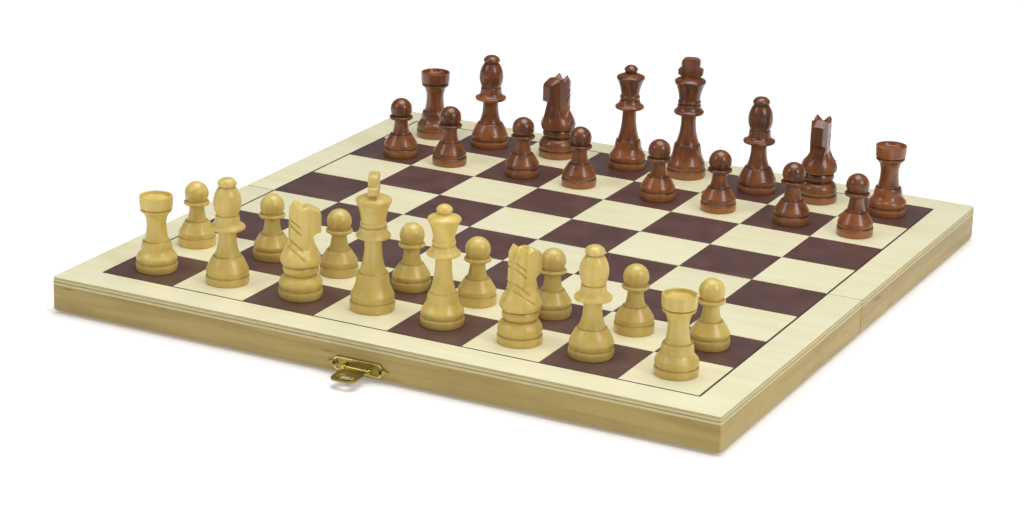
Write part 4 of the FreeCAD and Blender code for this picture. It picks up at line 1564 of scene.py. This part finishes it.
    def catch(self, brass: Sequence[bpy.types.Material]) -> None:
        """The round-ended plate with its stud, on the far half."""
        long, tall = 7.0, 3.0
        quarter = math.tan(math.pi / 8)
        outline = [
            (long - tall, -tall, quarter), (long, 0, quarter), (long - tall, tall, 0),
            (tall - long, tall, quarter), (-long, 0, quarter), (tall - long, -tall, 0),
        ]
        blank = sheet([loop(outline)], self.thick)
        rows = ((0, 0.1), (0.75, 0.1), (0.65, 1.2), (0.8, 1.7), (0.8, 2.4), (0.5, 2.8), (0, 2.8))
        stud = Blank().spin([Vector((r * MM, 0, z * MM)) for r, z in rows], 24).turn_out()
        blank.add(stud)
        x, z = self.face("catch_plate")
        move = Matrix.Translation((-x, -self.front(), z)) @ UPRIGHT
        blank.move(Half.FAR.turn @ move)
        show(blank.mesh("catch_plate_brass"), "far_half", ["catch_plate"], brass, 30.0)

    def screws(
        self, metals: Sequence[bpy.types.Material], fitting: str, half: Half, aside: float
    ) -> None:
        """Two round-headed screws through a plate."""
        x, z = self.face(f"{fitting}_screws")
        across = x if half is Half.NEAR else -x
        both = Blank()
        for number, sign in enumerate((-1, 1)):
            screw = cross_head(1.4, 0.6, False, 20.0 + 33.0 * number)
            rows = ((0, -6.4), (0.7, -5.2), (0.7, 0.1), (0, 0.1))
            shank = [Vector((r * MM, 0, h * MM)) for r, h in rows]
            screw.add(Blank().spin(shank, 16).turn_out())
            screw.move(Matrix.Translation((sign * aside * MM, 0, self.thick * MM)))
            both.add(screw)
        both.move(half.turn @ Matrix.Translation((across, -self.front(), z)) @ UPRIGHT)
        node = f"{fitting}_screws"
        show(both.mesh(f"{node}_cut"), half.body, [node], metals, 30.0)


# ------------------------------------------------------------------ the studio


@dataclass(frozen=True)
class Softbox:
    """A soft light.

    Attributes:
        name: Its name.
        place: Where it hangs, in metres.
        size: Its width and height, in metres.
        power: Its power, in watts.
    """

    name: str
    place: tuple[float, float, float]
    size: tuple[float, float]
    power: float

    def hang(self, target: Vector) -> None:
        """Hangs the light and points it at a target."""
        light = bpy.data.lights.new(self.name, "AREA")
        light.shape = "RECTANGLE"
        light.size, light.size_y = self.size
        light.energy = self.power
        lamp = bpy.data.objects.new(self.name, light)
        lamp.location = self.place
        aim = target - Vector(self.place)
        lamp.rotation_euler = aim.to_track_quat("-Z", "Y").to_euler()
        bpy.context.scene.collection.objects.link(lamp)


SOFTBOXES = (
    Softbox("overhead", (0.05, 0.1, 1.3), (1.0, 1.0), 13.5),
    Softbox("right_box", (1.05, -0.35, 0.75), (0.4, 0.6), 4.5),
    Softbox("left_box", (-0.75, -0.75, 0.8), (0.4, 0.6), 2.5),
)


def studio() -> None:
    """Sets the floor, the lights, the surroundings and the camera."""
    bench = Bench("floor")
    x, y, _ = bench.axes(bench.place(Vector((0, 0, 0)), Vector((1, 1, 1))))
    away = (x * x + y * y).apply("SQRT").ramp(0.2, 1.4, 0.2, 0.95)
    light = bench.mix(away, (0, 0, 0), (1, 1, 1))
    paper = bench.finish(
        Base_Color=linear(250, 250, 250), Roughness=0.8, Emission_Color=light, Emission_Strength=1.0
    )
    mesh = bpy.data.meshes.new("floor")
    blank = Blank()
    bmesh.ops.create_circle(blank.bm, cap_ends=True, radius=6.0, segments=96)
    blank.bm.to_mesh(mesh)
    blank.bm.free()
    mesh.materials.append(paper)
    floor = bpy.data.objects.new("floor", mesh)
    bpy.context.scene.collection.objects.link(floor)
    for softbox in SOFTBOXES:
        softbox.hang(Vector((0, 0, 0.02)))
    scene = bpy.context.scene
    world = bpy.data.worlds.new("studio")
    world.use_nodes = True
    world.node_tree.nodes["Background"].inputs["Color"].default_value = (1, 1, 1, 1)
    world.node_tree.nodes["Background"].inputs["Strength"].default_value = 0.16
    scene.world = world
    scene.view_settings.view_transform = "Standard"
    camera = bpy.data.cameras.new("camera")
    camera.lens = 96.64
    camera.sensor_width = 36.0
    camera.clip_start = 0.05
    viewer = bpy.data.objects.new("camera", camera)
    viewer.location = (0.4973, -1.0264, 0.3946)
    viewer.rotation_euler = tuple(math.radians(a) for a in (71.329, -1.628, 26.966))
    scene.collection.objects.link(viewer)
    scene.camera = viewer


def main() -> None:
    """Builds the whole scene."""
    logging.basicConfig(level=logging.INFO, format="%(name)s: %(message)s")
    Board().build()
    Army().build()
    Fittings().build()
    studio()


if __name__ == "__main__":
    main()
